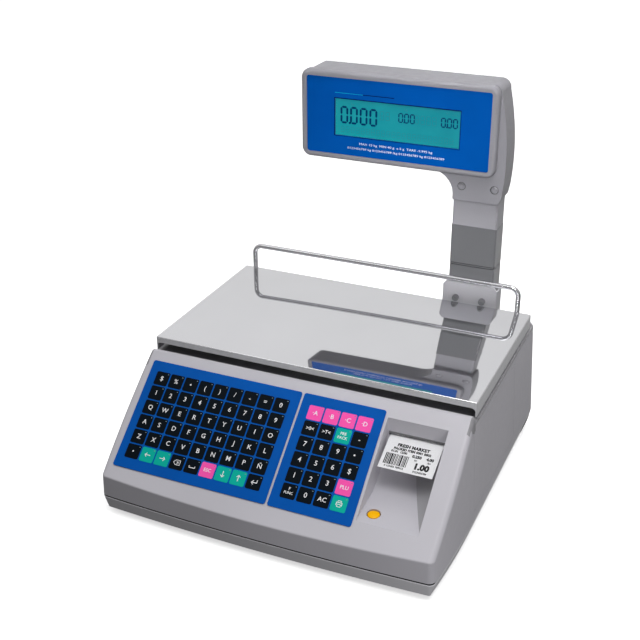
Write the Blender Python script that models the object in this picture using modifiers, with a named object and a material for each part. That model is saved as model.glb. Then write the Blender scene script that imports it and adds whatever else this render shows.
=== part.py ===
"""A counter-top label printing scale: casing, keypad films, lift-off platter with a wire
guard, side-loading label printer, load cell and a customer display on a rear mast.

Metres, +Z up, X to the user's right, front edge towards -Y. Z = 0 is the counter.
"""

import math

import bmesh
import bpy
from mathutils import Matrix, Vector

MM = 0.001
GAP = 0.3 * MM  # clearance kept between pieces that rest on each other

# Heights
PLATE_TOP = 158 * MM
DECK_Z = 138.5 * MM
RIDGE_Z = 146 * MM
SEAM_Z = 24.4 * MM
BASE_Z = 6 * MM

# Casing plan
HALF_WIDTH = 196 * MM
HALF_DEPTH = 197.5 * MM
FASCIA_BOW = 5 * MM  # how far the fascia's ends stand back from its middle
SIDE_FLARE = 6.5 * MM  # how much narrower the sides are at the deck than at the seam
REAR_CORNER = 32 * MM  # plan radius of the two rear corners
SIDE_BOW = 0.5  # 1/m: the sides' pull-in ahead of SIDE_STRAIGHT_Y, per metre squared
SIDE_STRAIGHT_Y = -80 * MM
WALL = 2.6 * MM

# Sloped operator face
SLOPE = math.radians(39.65)
FACE_TOP_Y = -75.5 * MM
RIDGE_BACK_Y = -71 * MM

# Keypad films: x range, and distance down the slope from the face's top edge
KEYPAD_LEFT_X = (-179 * MM, 4 * MM)
KEYPAD_RIGHT_X = (6.6 * MM, 99 * MM)
KEYPAD_S = (11.4 * MM, 137.4 * MM)
FILM = 0.8 * MM

# Label recess and printer
RECESS_X = (102 * MM, 167 * MM)
RECESS_TOP_Y = -89.3 * MM
RECESS_FRONT_Y = -175.4 * MM
SLOT_Z = (114.0 * MM, 117.2 * MM)
LABEL_X = (105.5 * MM, 163.5 * MM)
PRINTER_X = (100.5 * MM, 169 * MM)
PLATEN = (-75 * MM, 108.6 * MM)
PLATEN_R = 6 * MM
ROLL = (10 * MM, 79 * MM)
ROLL_R = 40 * MM
TAKEUP = (-50 * MM, 66 * MM)
MOTOR = (-52 * MM, 96 * MM)
HEAD_PIN = (-60 * MM, 122 * MM)
PLATEN_TEETH, MOTOR_TEETH = 20, 30
TOOTH = 0.8 * MM  # a tooth's height above and below the pitch circle

# Printer door in the right side wall
DOOR_Y = (-76 * MM, 84 * MM)
DOOR_Z = (34 * MM, 130 * MM)
DOOR_GAP = 0.5 * MM

# Platter
PLATE_X = 188 * MM
PLATE_Y = (-65 * MM, 158 * MM)
PLATE_SKIN = 1.2 * MM
SIDE_FLANGE = 16.6 * MM
FRONT_FLANGE = 7 * MM
GUARD_R = 3 * MM
GUARD_X = 172 * MM
GUARD_Y = 153.5 * MM
GUARD_TOP = PLATE_TOP + 32 * MM
GUARD_BEND = 10 * MM
GUARD_LEG = 9 * MM  # how far each leg reaches below the plate's top

# Mast and display head
MAST_X = (82.3 * MM, 137.6 * MM)
MAST_Y = (168.5 * MM, 196 * MM)
MAST_TOP = 318 * MM
ARM_BOTTOM = 286.5 * MM
HEAD_X = (-102.5 * MM, 134.5 * MM)
HEAD_Z = (319.4 * MM, 424 * MM)
HEAD_Y = (149.5 * MM, 196 * MM)
BEZEL_BACK = 158 * MM
PANEL_X = (-95.2 * MM, 127.2 * MM)
PANEL_Z = (326.2 * MM, 417 * MM)
LCD_X = (-59.4 * MM, 91.8 * MM)
LCD_Z = (349.2 * MM, 392.6 * MM)
REAR_LCD_X = (-60 * MM, 92 * MM)
REAR_OPENING_X = (REAR_LCD_X[0] + 2 * MM, REAR_LCD_X[1] - 2 * MM)
REAR_OPENING_Z = (352 * MM, 390 * MM)

# Load path
CELL_Y = 46.5 * MM
CELL_HALF = (65 * MM, 15 * MM)
CELL_Z = (36 * MM, 60 * MM)
STUD_XY = (140 * MM, 78 * MM)

FOOT_XY = (158 * MM, 158 * MM)
FOOT_R = 15 * MM

# Small round fittings
LENS_XY = (115 * MM, -160 * MM)
LENS_R = 6.8 * MM
LEVEL_XY = (-150 * MM, 176 * MM)
BOLT_X = (("left", 93.5 * MM), ("right", 126.1 * MM))
BOLT_Z = 160.4 * MM
CAP_X = (("left", 94.8 * MM), ("right", 133.5 * MM))
CAP_Z = 303.7 * MM


# ---------------------------------------------------------------- scene and materials

def clear_scene():
    for obj in list(bpy.data.objects):
        bpy.data.objects.remove(obj, do_unlink=True)


def collection(name, helper=False):
    made = bpy.data.collections.new(name)
    bpy.context.scene.collection.children.link(made)
    made.hide_render = helper
    return made


clear_scene()
OBJECT = collection("label_printing_scale")
CUTTERS = collection("cutters", helper=True)


def material(name, colour, roughness, metallic=0.0):
    made = bpy.data.materials.new(name)
    made.use_nodes = True
    shader = made.node_tree.nodes["Principled BSDF"]
    shader.inputs["Base Color"].default_value = (*colour, 1)
    shader.inputs["Roughness"].default_value = roughness
    shader.inputs["Metallic"].default_value = metallic
    made.diffuse_color = (*colour, 1)
    return made


CASING_GREY = material("casing_grey", (0.52, 0.50, 0.54), 0.45)
BASE_GREY = material("base_grey", (0.36, 0.36, 0.37), 0.5)
HEAD_GREY = material("head_grey", (0.42, 0.41, 0.42), 0.45)
FILM_BLUE = material("film_blue", (0.0, 0.075, 0.38), 0.4)
STEEL = material("stainless", (0.62, 0.62, 0.64), 0.2, 1.0)
CHROME = material("chrome_wire", (0.8, 0.8, 0.8), 0.08, 1.0)
ZINC = material("zinc_sheet", (0.5, 0.5, 0.52), 0.35, 1.0)
ALUMINIUM = material("cast_aluminium", (0.6, 0.6, 0.6), 0.4, 1.0)
MAST_GREY = material("mast_paint", (0.3, 0.3, 0.31), 0.4)
RUBBER = material("rubber", (0.02, 0.02, 0.02), 0.8)
BOARD = material("circuit_board", (0.01, 0.12, 0.05), 0.5)
PLASTIC_BLACK = material("black_plastic", (0.02, 0.02, 0.022), 0.45)
PAPER = material("paper", (0.85, 0.85, 0.83), 0.8)
LCD_TEAL = material("lcd_teal", (0.01, 0.31, 0.31), 0.15)
LENS = material("lens_yellow", (0.9, 0.42, 0.0), 0.2)


# ---------------------------------------------------------------- mesh helpers

def add(name, mesh, finish, helper=False):
    obj = bpy.data.objects.new(name, mesh)
    (CUTTERS if helper else OBJECT).objects.link(obj)
    if helper:
        obj.hide_render = True
        obj.display_type = "WIRE"
    else:
        mesh.materials.append(finish)
    return obj


def from_faces(name, points, faces, finish=None, helper=False):
    mesh = bpy.data.meshes.new(name)
    mesh.from_pydata([tuple(p) for p in points], [], faces)
    work = bmesh.new()
    work.from_mesh(mesh)
    bmesh.ops.recalc_face_normals(work, faces=work.faces)
    if work.calc_volume(signed=True) < 0:
        bmesh.ops.reverse_faces(work, faces=work.faces)
    work.to_mesh(mesh)
    work.free()
    return add(name, mesh, finish, helper)


def frame_of(axis):
    """The two directions an outline's coordinates run along, for each extrusion axis."""
    axes = {
        "X": ((0, 1, 0), (0, 0, 1)),
        "Y": ((1, 0, 0), (0, 0, 1)),
        "Z": ((1, 0, 0), (0, 1, 0)),
    }
    return axes[axis]


def prism(name, outline, axis, start, end, finish=None, helper=False):
    """An outline of (a, b) pairs, extruded along an axis from start to end."""
    first, second = (Vector(v) for v in frame_of(axis))
    along = Vector({"X": (1, 0, 0), "Y": (0, 1, 0), "Z": (0, 0, 1)}[axis])
    flat = [first * a + second * b for a, b in outline]
    count = len(flat)
    points = [p + along * start for p in flat] + [p + along * end for p in flat]
    faces = [tuple(range(count)), tuple(range(2 * count - 1, count - 1, -1))]
    faces += [(i, (i + 1) % count, (i + 1) % count + count, i + count) for i in range(count)]
    return from_faces(name, points, faces, finish, helper)


def box(name, xs, ys, zs, finish=None, helper=False):
    outline = [(xs[0], ys[0]), (xs[1], ys[0]), (xs[1], ys[1]), (xs[0], ys[1])]
    return prism(name, outline, "Z", zs[0], zs[1], finish, helper)


def arc(centre, radius, start, end, steps):
    """Points on an arc, with angles in degrees."""
    angles = [math.radians(start + (end - start) * i / steps) for i in range(steps + 1)]
    return [(centre[0] + radius * math.cos(a), centre[1] + radius * math.sin(a)) for a in angles]


def rounded(xs, ys, radius, steps=4):
    corners = [
        ((xs[1] - radius, ys[1] - radius), 0),
        ((xs[0] + radius, ys[1] - radius), 90),
        ((xs[0] + radius, ys[0] + radius), 180),
        ((xs[1] - radius, ys[0] + radius), 270),
    ]
    return [p for centre, a in corners for p in arc(centre, radius, a, a + 90, steps)]


def disc(name, axis, centre, radius, start, end, finish=None, helper=False, sides=32):
    outline = arc(centre, radius, 0, 360, sides)[:-1]
    return prism(name, outline, axis, start, end, finish, helper)


def turned(name, axis, centre, profile, finish, sides=28):
    """A lathe solid: (radius, height) pairs up one side, from the axis back to the axis."""
    first, second = (Vector(v) for v in frame_of(axis))
    along = Vector({"X": (1, 0, 0), "Y": (0, 1, 0), "Z": (0, 0, 1)}[axis])
    origin = first * centre[0] + second * centre[1]
    points = []
    for radius, height in profile:
        ring = arc((0, 0), radius, 0, 360, sides)[:-1] if radius > 0 else [(0, 0)]
        points.append([origin + first * a + second * b + along * height for a, b in ring])
    flat = [p for ring in points for p in ring]
    starts = [sum(len(r) for r in points[:i]) for i in range(len(points))]
    faces = []
    for i in range(len(points) - 1):
        low, high = starts[i], starts[i + 1]
        for k in range(sides):
            nxt = (k + 1) % sides
            if len(points[i]) == 1:
                faces.append((low, high + k, high + nxt))
            elif len(points[i + 1]) == 1:
                faces.append((low + k, low + nxt, high))
            else:
                faces.append((low + k, low + nxt, high + nxt, high + k))
    return from_faces(name, flat, faces, finish)


def boolean(target, operation, *others):
    for other in others:
        step = target.modifiers.new(f"{operation.lower()} {other.name}", "BOOLEAN")
        step.operation = operation
        step.solver = "EXACT"
        step.object = other
    return target


def cut(target, *others):
    return boolean(target, "DIFFERENCE", *others)


def join(target, *others):
    return boolean(target, "UNION", *others)


def bevel(obj, width, segments=2, angle=40):
    step = obj.modifiers.new("bevel", "BEVEL")
    step.width = width
    step.segments = segments
    step.limit_method = "ANGLE"
    step.angle_limit = math.radians(angle)
    return obj


def set_origin(obj, place):
    """Moves the origin without moving the mesh, for a piece that turns about it."""
    obj.data.transform(Matrix.Translation(-Vector(place)))
    obj.location = place
    return obj


# ---------------------------------------------------------------- casing surfaces

def slope_z(y):
    return RIDGE_Z + (y - FACE_TOP_Y) * math.tan(SLOPE)


def fascia_y(x):
    return -HALF_DEPTH + FASCIA_BOW * (x / (HALF_WIDTH - 8 * MM)) ** 2


def side_x(y, z):
    pull = max(0.0, SIDE_STRAIGHT_Y - y) ** 2 * SIDE_BOW
    return HALF_WIDTH - pull - SIDE_FLARE * (z - SEAM_Z) / (DECK_Z - SEAM_Z)


def on_face(x, s, proud=0.0):
    """A point on the sloped face, s down from its top edge and proud of it."""
    y = FACE_TOP_Y - s * math.cos(SLOPE) - proud * math.sin(SLOPE)
    z = RIDGE_Z - s * math.sin(SLOPE) + proud * math.cos(SLOPE)
    return Vector((x, y, z))


def fillet(before, corner, after, radius, steps):
    """The corner's replacement arc, as points in the YZ plane."""
    into = (Vector(before) - Vector(corner)).normalized()
    out = (Vector(after) - Vector(corner)).normalized()
    half = into.angle(out) / 2
    reach = radius / math.tan(half)
    first, last = Vector(corner) + into * reach, Vector(corner) + out * reach
    centre = Vector(corner) + (into + out).normalized() * radius / math.sin(half)
    arm = first - centre
    turn = arm.angle_signed(last - centre)
    points = []
    for i in range(steps + 1):
        points.append(centre + Matrix.Rotation(-turn * i / steps, 2) @ arm)
    return points


def section(x, depth, inset):
    """One ring of the casing: (y, z, side radius) from the front's foot to the rear's foot.

    depth is 0 on the main surface and 1 where the rounded side meets the side wall.
    inset moves the whole section inwards, for the cavity.
    """
    front = fascia_y(x) + inset
    drop = inset / math.cos(SLOPE)
    deck = DECK_Z - inset
    rear = HALF_DEPTH - inset
    ridge = RIDGE_Z if inset == 0 else deck
    ridge_y = FACE_TOP_Y + (ridge - RIDGE_Z + drop) / math.tan(SLOPE)
    ridge_back = RIDGE_BACK_Y if inset == 0 else ridge_y + 4 * MM
    foot = SEAM_Z if inset == 0 else SEAM_Z - 3 * MM
    side_y = SIDE_STRAIGHT_Y - 4 * MM - inset
    crease, shoulder = slope_z(front) - drop, slope_z(side_y) - drop
    # outer corner, corner where it meets the side wall, side radius, fillet radius
    corners = [
        ((front, foot), (front + 7 * MM, foot), 7 * MM, 0),
        ((front, crease), (front + 7 * MM, crease - 0.7 * MM), 6 * MM, 2.5 * MM),
        ((side_y, shoulder), (side_y, shoulder - 6 * MM), 5.5 * MM, 0),
        ((ridge_y, ridge), (ridge_y + 2 * MM, ridge - 4.5 * MM), 5 * MM, 1.2 * MM),
        ((ridge_back, ridge), (ridge_back - 1.2 * MM, ridge - 4.5 * MM), 4 * MM, 1 * MM),
        ((ridge_back, deck), (ridge_back - 1.2 * MM, deck - 2 * MM), 2.5 * MM, 0),
        ((150 * MM, deck), (150 * MM, deck - 2 * MM), 3 * MM, 0),
        ((rear, deck), (rear - REAR_CORNER, deck - 2 * MM), REAR_CORNER, 10 * MM),
        ((rear, foot), (rear - REAR_CORNER, foot), REAR_CORNER, 0),
    ]
    if inset:
        del corners[4:6]
    places = [Vector(o).lerp(Vector(i), depth) for o, i, _, _ in corners]
    ring = []
    for k, (_, _, side_radius, radius) in enumerate(corners):
        if radius:
            shrunk = radius * (1 - 0.85 * depth)
            for p in fillet(places[k - 1], places[k], places[k + 1], shrunk, 3):
                ring.append((p.x, p.y, side_radius))
        else:
            ring.append((places[k].x, places[k].y, side_radius))
        if k == 1:
            ring += slope_points(places[k], places[k + 1], side_radius)
    return ring


def slope_points(low, high, side_radius, count=6):
    return [(*low.lerp(high, i / (count + 1)), side_radius) for i in range(1, count + 1)]


def casing_solid(name, inset=0.0, helper=False, finish=None, across=12, round_steps=4):
    """The casing's outer skin, or its cavity, closed and solid."""
    points, rings = [], []

    def ring_at(share, turn, side):
        depth = 1 - math.cos(turn)
        guess = side * share * (HALF_WIDTH - 9 * MM)
        ring = []
        for y, z, radius in section(guess, depth, inset):
            edge = side_x(y, z) - inset
            radius = max(radius - inset, 1 * MM)
            x = (edge - radius) * share + radius * math.sin(turn) * (share == 1)
            points.append((side * x, y, z))
            ring.append(len(points) - 1)
        rings.append(ring)

    turns = [math.pi / 2 * k / round_steps for k in range(1, round_steps + 1)]
    for turn in reversed(turns):
        ring_at(1, turn, -1)
    for k in range(across + 1):
        share = 2 * k / across - 1
        ring_at(abs(share), 0, -1 if share < 0 else 1)
    for turn in turns:
        ring_at(1, turn, 1)

    faces = []
    length = len(rings[0])
    for a, b in zip(rings, rings[1:]):
        faces += [(a[i], a[i + 1], b[i + 1], b[i]) for i in range(length - 1)]
    underside = [ring[0] for ring in rings]
    sides = [side_wall(points, faces, ring, side) for ring, side in ((rings[-1], 1), (rings[0], -1))]
    underside += sides[0] + [ring[-1] for ring in reversed(rings)] + list(reversed(sides[1]))
    faces.append(tuple(underside))
    return from_faces(name, points, faces, finish, helper)


def side_wall(points, faces, ring, side):
    """Closes one side: strips along the bowed front, then one flat face. Returns its foot's points."""
    first = 5  # the first slope point after the crease's fillet
    last = first + 6
    foot = points[ring[0]][2]
    inset = side_x(points[ring[0]][1], foot) - side * points[ring[0]][0]
    feet = []
    for index in ring[first:last + 1]:
        y = points[index][1]
        points.append((side * (side_x(y, foot) - inset), y, foot))
        feet.append(len(points) - 1)
    faces.append((*ring[:first + 1], feet[0]))
    for k in range(len(feet) - 1):
        faces.append((ring[first + k], ring[first + k + 1], feet[k + 1], feet[k]))
    faces.append((*ring[last:], feet[-1]))
    return feet


# ---------------------------------------------------------------- casing pieces

def recess_floor(past=0.0):
    """The chute's floor from under the slot to the face, or a little past it, as (y, z)."""
    concave = arc((-146 * MM, 122 * MM), 56 * MM, -8, -74, 8)
    end = Vector((RECESS_FRONT_Y, slope_z(RECESS_FRONT_Y)))
    run = (end - Vector(concave[-1])).normalized()
    return concave + [tuple(end + run * past)]


def recess_outline():
    top = 12 * MM
    return [
        (RECESS_FRONT_Y - 6 * MM, slope_z(RECESS_FRONT_Y) + top),
        (RECESS_TOP_Y, slope_z(RECESS_TOP_Y) + top),
        (RECESS_TOP_Y, SLOT_Z[0] - 1 * MM),
    ] + recess_floor(past=4 * MM)


def recess_shell_outline():
    """The recess's own wall, merged into the face from below."""
    under = [(y + 1.5 * MM, z - 2.4 * MM) for y, z in recess_floor()[:-1]]
    back = RECESS_TOP_Y + 2.4 * MM
    under[0] = (back, under[0][1])
    return [
        (RECESS_FRONT_Y, slope_z(RECESS_FRONT_Y) - 1.6 * MM),
        (back, slope_z(back) - 1.2 * MM),
    ] + under + [(-170 * MM, 61 * MM)]


def door_box(name, margin):
    ys = (DOOR_Y[0] - margin, DOOR_Y[1] + margin)
    zs = (DOOR_Z[0] - margin, DOOR_Z[1] + margin)
    return box(name, (180 * MM, 210 * MM), ys, zs, helper=True)


def upper_casing():
    casing = casing_solid("upper_casing", finish=CASING_GREY)
    cavity = casing_solid("casing_cavity", inset=WALL, helper=True)
    wall = 2.4 * MM
    chute_x = (RECESS_X[0] - wall, RECESS_X[1] + wall)
    join(cut(casing, cavity), prism("chute_wall", recess_shell_outline(), "X", *chute_x, helper=True))
    cut(casing, prism("recess_cutter", recess_outline(), "X", *RECESS_X, helper=True))
    cut(casing, disc("lens_hole", "Z", LENS_XY, LENS_R + 0.4 * MM, 40 * MM, 90 * MM, helper=True, sides=24))
    cut(casing, disc("level_hole", "Z", LEVEL_XY, 9.3 * MM, 130 * MM, 145 * MM, helper=True, sides=24))
    rear = (185 * MM, 205 * MM)
    holes = {
        "slot_cutter": ((LABEL_X[0] - 2 * MM, LABEL_X[1] + 2 * MM), (-92 * MM, -84 * MM), SLOT_Z),
        "cell_hole": ((-28 * MM, 28 * MM), (CELL_Y - 20 * MM, CELL_Y + 20 * MM), (130 * MM, 145 * MM)),
        "port_hole": ((-30 * MM, 30 * MM), rear, (44 * MM, 66 * MM)),
        "inlet_hole": ((-120.5 * MM, -71.5 * MM), rear, (43.5 * MM, 72.5 * MM)),
        "switch_hole": ((-150.5 * MM, -129.5 * MM), rear, (50 * MM, 67 * MM)),
    }
    cut(casing, *[box(name, *spans, helper=True) for name, spans in holes.items()])
    return cut(casing, door_box("door_opening", DOOR_GAP))


def printer_door():
    """The wall's own skin inside the door's outline, so that it closes flush."""
    door = casing_solid("printer_door", finish=CASING_GREY)
    cavity = bpy.data.objects["casing_cavity"]
    keep = door_box("door_outline", 0)
    cut(boolean(door, "INTERSECT", keep), cavity)
    return set_origin(door, (HALF_WIDTH - 0.2 * MM, 0, DOOR_Z[0]))


def base_outline(inset):
    """The base's plan, following the casing's foot."""
    right = []
    for k in range(7):
        y = -HALF_DEPTH + 24 * MM + (SIDE_STRAIGHT_Y + HALF_DEPTH - 24 * MM) * k / 6
        right.append((side_x(y, SEAM_Z) - inset, y))
    corner_x = side_x(-HALF_DEPTH + 12 * MM, SEAM_Z) - 7 * MM
    corner_y = fascia_y(corner_x) + 7 * MM
    front_right = arc((corner_x, corner_y), max(7 * MM - inset, 1 * MM), -85, 0, 4)
    rear_right = arc((HALF_WIDTH - REAR_CORNER, HALF_DEPTH - REAR_CORNER), REAR_CORNER - inset, 0, 90, 5)
    half = front_right + right + rear_right
    front = [(x, fascia_y(x) + inset) for x in [corner_x * k / 6 for k in range(-5, 6)]]
    return half + [(-x, y) for x, y in reversed(half)] + front


def loft(name, low, high, low_z, high_z, finish=None, helper=False):
    count = len(low)
    points = [(x, y, low_z) for x, y in low] + [(x, y, high_z) for x, y in high]
    faces = [tuple(range(count)), tuple(range(2 * count - 1, count - 1, -1))]
    faces += [(i, (i + 1) % count, (i + 1) % count + count, i + count) for i in range(count)]
    return from_faces(name, points, faces, finish, helper)


def corners(spread=FOOT_XY, middle=0.0):
    """Four named places, spread about (0, middle)."""
    for side, across in ((-1, "left"), (1, "right")):
        for end, along in ((-1, "front"), (1, "rear")):
            yield f"{across}_{along}", side * spread[0], middle + end * spread[1]


def base_tray():
    """An open shell that tapers a little towards its floor."""
    low, high = base_outline(4.6 * MM), base_outline(0.2 * MM)
    tray = loft("base_tray", low, high, BASE_Z, SEAM_Z - 0.7 * MM, BASE_GREY)
    floor, rim = BASE_Z + 2.6 * MM, SEAM_Z + 1 * MM
    cut(tray, loft("tray_hollow", base_outline(7.4 * MM), base_outline(3.2 * MM), floor, rim, helper=True))
    for name, x, y in corners():
        cut(tray, disc(f"foot_bore_{name}", "Z", (x, y), 4.3 * MM, 0, 20 * MM, helper=True, sides=20))
    for side, label in ((-1, "left"), (1, "right")):
        cut(tray, bumper_block(f"bumper_notch_{label}", side, GAP))
    return tray


def bumper_block(name, side, grow):
    """An L-shaped corner pad set into the base's rear corner."""
    outer_x, inner_x = HALF_WIDTH + 6 * MM, HALF_WIDTH - 6.2 * MM
    outer_y = HALF_DEPTH + 6 * MM
    xs = sorted((side * outer_x, side * (inner_x - grow)))
    ys, zs = (140 * MM - grow, outer_y), (BASE_Z - 1 * MM, 16 * MM + grow)
    return box(name, xs, ys, zs, helper=True)


def bumper(side, label):
    """The part of the base's own skin that the corner pad takes up."""
    low, high = base_outline(4.3 * MM), base_outline(1.2 * MM)
    pad = loft(f"rear_bumper_{label}", low, high, BASE_Z + 0.2 * MM, 15.8 * MM, RUBBER)
    block = bumper_block(f"bumper_keep_{label}", side, 0)
    return boolean(pad, "INTERSECT", block)


# ---------------------------------------------------------------- operator face

def film(name, xs, finish=FILM_BLUE):
    """A keypad film lying on the sloped face."""
    outline = rounded(xs, (-KEYPAD_S[1], -KEYPAD_S[0]), 2.5 * MM)
    points = [on_face(x, -s, proud) for proud in (GAP, GAP + FILM) for x, s in outline]
    count = len(outline)
    faces = [tuple(range(count)), tuple(range(2 * count - 1, count - 1, -1))]
    faces += [(i, (i + 1) % count, (i + 1) % count + count, i + count) for i in range(count)]
    return from_faces(name, points, faces, finish)


def keyboard_board():
    low, high = -(WALL + 4 * MM), -(WALL + 2.4 * MM)
    outline = ((-170 * MM, 20 * MM), (92 * MM, 20 * MM), (92 * MM, 130 * MM), (-170 * MM, 130 * MM))
    points = [on_face(x, s, proud) for proud in (low, high) for x, s in outline]
    faces = [(0, 1, 2, 3), (7, 6, 5, 4), (0, 1, 5, 4), (1, 2, 6, 5), (2, 3, 7, 6), (3, 0, 4, 7)]
    return from_faces("keyboard_board", points, faces, BOARD)


def sensor_lens():
    """A domed window let into the recess's floor."""
    floor = recess_floor()
    low, high = floor[-1], floor[-2]
    z = low[1] + (high[1] - low[1]) * (LENS_XY[1] - low[0]) / (high[0] - low[0])
    profile = [(0, z - 6 * MM), (LENS_R, z - 6 * MM), (LENS_R, z + 0.8 * MM), (5.4 * MM, z + 1.6 * MM),
               (2.8 * MM, z + 2.1 * MM), (0, z + 2.3 * MM)]
    return turned("label_sensor_lens", "Z", LENS_XY, profile, LENS, sides=24)


# ---------------------------------------------------------------- label printer

def printed_label():
    """A label standing out of the slot, drooping a little to its free end."""
    path = [(-80 * MM, 115.6 * MM), (-91 * MM, 115.2 * MM), (-104 * MM, 109.4 * MM), (-127 * MM, 98.6 * MM)]
    thick = 0.35 * MM
    outline = path + [(y, z + thick) for y, z in reversed(path)]
    return prism("printed_label", outline, "X", *LABEL_X, PAPER)


def printer_frame():
    """Two cheeks and a floor, bent from one sheet."""
    sheet = 1.5 * MM
    top = [(-70 * MM, 130 * MM), (-85 * MM, 124 * MM)]
    cheek = [(-85 * MM, 58 * MM), (-62 * MM, 31 * MM), (70 * MM, 31 * MM), (70 * MM, 60 * MM),
             (20 * MM, 126 * MM), *top]
    left = prism("printer_frame", cheek, "X", PRINTER_X[0], PRINTER_X[0] + sheet, ZINC)
    short = [(-85 * MM, 58 * MM), (-62 * MM, 31 * MM), (-60 * MM, 31 * MM), (-36 * MM, 56 * MM),
             (-36 * MM, 112 * MM), (-52 * MM, 128 * MM), *top]
    right = prism("frame_right_cheek", short, "X", PRINTER_X[1] - sheet, PRINTER_X[1], helper=True)
    floor_x = (PRINTER_X[0] + 0.2 * MM, PRINTER_X[1])
    floor = box("frame_floor", floor_x, (-62 * MM, 70 * MM), (29.5 * MM, 31.2 * MM), helper=True)
    join(left, right, floor)
    bores = (
        ("platen_bore", PLATEN, 2.1 * MM, 180 * MM),
        ("takeup_bore", TAKEUP, 2.1 * MM, 180 * MM),
        ("head_bore", HEAD_PIN, 1.6 * MM, 180 * MM),
        ("spindle_bore", ROLL, 4.3 * MM, 110 * MM),
    )
    for name, centre, radius, end in bores:
        cut(left, disc(name, "X", centre, radius, 90 * MM, end, helper=True, sides=20))
    return left


def platen_roller():
    x0, x1 = PRINTER_X[0] + 3 * MM, PRINTER_X[1] - 3 * MM
    profile = [(0, x0 - 8 * MM), (2 * MM, x0 - 8 * MM), (2 * MM, x0), (PLATEN_R, x0),
               (PLATEN_R, x1), (2 * MM, x1), (2 * MM, x1 + 5 * MM), (0, x1 + 5 * MM)]
    roller = turned("platen_roller", "X", PLATEN, profile, RUBBER, sides=24)
    return set_origin(roller, (0, *PLATEN))


def toothed(name, centre, teeth, pitch_radius, phase, xs):
    """A black spur gear with trapezoid teeth, bored for its shaft; phase is one tooth's angle."""
    step = 360 / teeth
    outline = []
    for k in range(teeth):
        for share, height in ((-0.30, -TOOTH), (-0.13, TOOTH), (0.13, TOOTH), (0.30, -TOOTH)):
            a = math.radians(phase + (k + share) * step)
            r = pitch_radius + height
            outline.append((centre[0] + r * math.cos(a), centre[1] + r * math.sin(a)))
    gear = prism(name, outline, "X", *xs, PLASTIC_BLACK)
    hole = disc(f"{name}_bore", "X", centre, 2.05 * MM, xs[0] - 5 * MM, xs[1] + 5 * MM, helper=True, sides=20)
    return set_origin(cut(gear, hole), (0, *centre))


def printer_gears():
    """The motor's gear drives the platen's; a tooth of one stands in a gap of the other."""
    xs = (PRINTER_X[0] - 5.4 * MM, PRINTER_X[0] - 1.4 * MM)
    across = Vector(MOTOR) - Vector(PLATEN)
    radius = across.length / (PLATEN_TEETH + MOTOR_TEETH)
    towards = math.degrees(math.atan2(across.y, across.x))
    toothed("platen_gear", PLATEN, PLATEN_TEETH, radius * PLATEN_TEETH, towards, xs)
    toothed("motor_gear", MOTOR, MOTOR_TEETH, radius * MOTOR_TEETH, towards + 180 + 180 / MOTOR_TEETH, xs)


def print_motor():
    half = 14 * MM
    body = rounded((MOTOR[0] - half, MOTOR[0] + half), (MOTOR[1] - half, MOTOR[1] + half), 3 * MM)
    motor = prism("print_motor", body, "X", 60 * MM, 92 * MM, ZINC)
    shaft = disc("motor_shaft", "X", MOTOR, 2.0 * MM, 91 * MM, 99.5 * MM, helper=True, sides=20)
    return join(motor, shaft)


def print_head():
    """The heated bar above the platen, swung on a pin behind it."""
    y, z = HEAD_PIN
    arm = [(y - 20 * MM, 116.4 * MM), (y - 2 * MM, 117.6 * MM), (y + 2.5 * MM, z - 2.5 * MM),
           (y + 2.5 * MM, z + 2.5 * MM), (y - 2 * MM, z + 3.5 * MM), (y - 20 * MM, z - 1 * MM)]
    inside = 3.5 * MM
    head = prism("print_head", arm, "X", PRINTER_X[0] + inside, PRINTER_X[1] - inside, ALUMINIUM)
    pin_x = (PRINTER_X[0] + GAP, PRINTER_X[1] - GAP)
    join(head, disc("head_pin", "X", HEAD_PIN, 1.5 * MM, *pin_x, helper=True, sides=16))
    return set_origin(head, (0, *HEAD_PIN))


def peel_bar():
    """The sharp bar that the backing paper turns round, spanning the frame's cheeks."""
    nose, tail = -84.4 * MM, -82.3 * MM
    outline = arc((nose, 112.2 * MM), 1.4 * MM, 90, 270, 5) + [(tail, 110.8 * MM), (tail, 113.6 * MM)]
    sheet = 1.5 * MM + GAP
    return prism("peel_bar", outline, "X", PRINTER_X[0] + sheet, PRINTER_X[1] - sheet, STEEL)


def roll_spindle():
    profile = [(0, 93 * MM), (4.2 * MM, 93 * MM), (4.2 * MM, PRINTER_X[0] + 1.5 * MM),
               (9 * MM, PRINTER_X[0] + 2 * MM), (9 * MM, PRINTER_X[0] + 4 * MM),
               (6 * MM, PRINTER_X[0] + 4 * MM), (6 * MM, 171 * MM), (5 * MM, 172 * MM), (0, 172 * MM)]
    return turned("roll_spindle", "X", ROLL, profile, PLASTIC_BLACK, sides=24)


def label_roll():
    roll = disc("label_roll", "X", ROLL, ROLL_R, PRINTER_X[0] + 5 * MM, 165.5 * MM, PAPER, sides=48)
    core = disc("roll_core", "X", ROLL, 6.3 * MM, 90 * MM, 180 * MM, helper=True, sides=32)
    cut(roll, core)
    return set_origin(roll, (0, *ROLL))


def takeup_spool():
    x0, x1 = PRINTER_X[0] + 3 * MM, PRINTER_X[1] - 3 * MM
    pin, drum, flange = 2 * MM, 8 * MM, 15 * MM
    profile = [(0, x0 - 2.5 * MM), (pin, x0 - 2.5 * MM), (pin, x0), (flange, x0), (flange, x0 + 2 * MM),
               (drum, x0 + 2 * MM), (drum, x1 - 2 * MM), (flange, x1 - 2 * MM), (flange, x1), (pin, x1),
               (pin, x1 + 2.5 * MM), (0, x1 + 2.5 * MM)]
    spool = turned("takeup_spool", "X", TAKEUP, profile, PLASTIC_BLACK, sides=24)
    return set_origin(spool, (0, *TAKEUP))


# ---------------------------------------------------------------- load path

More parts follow.
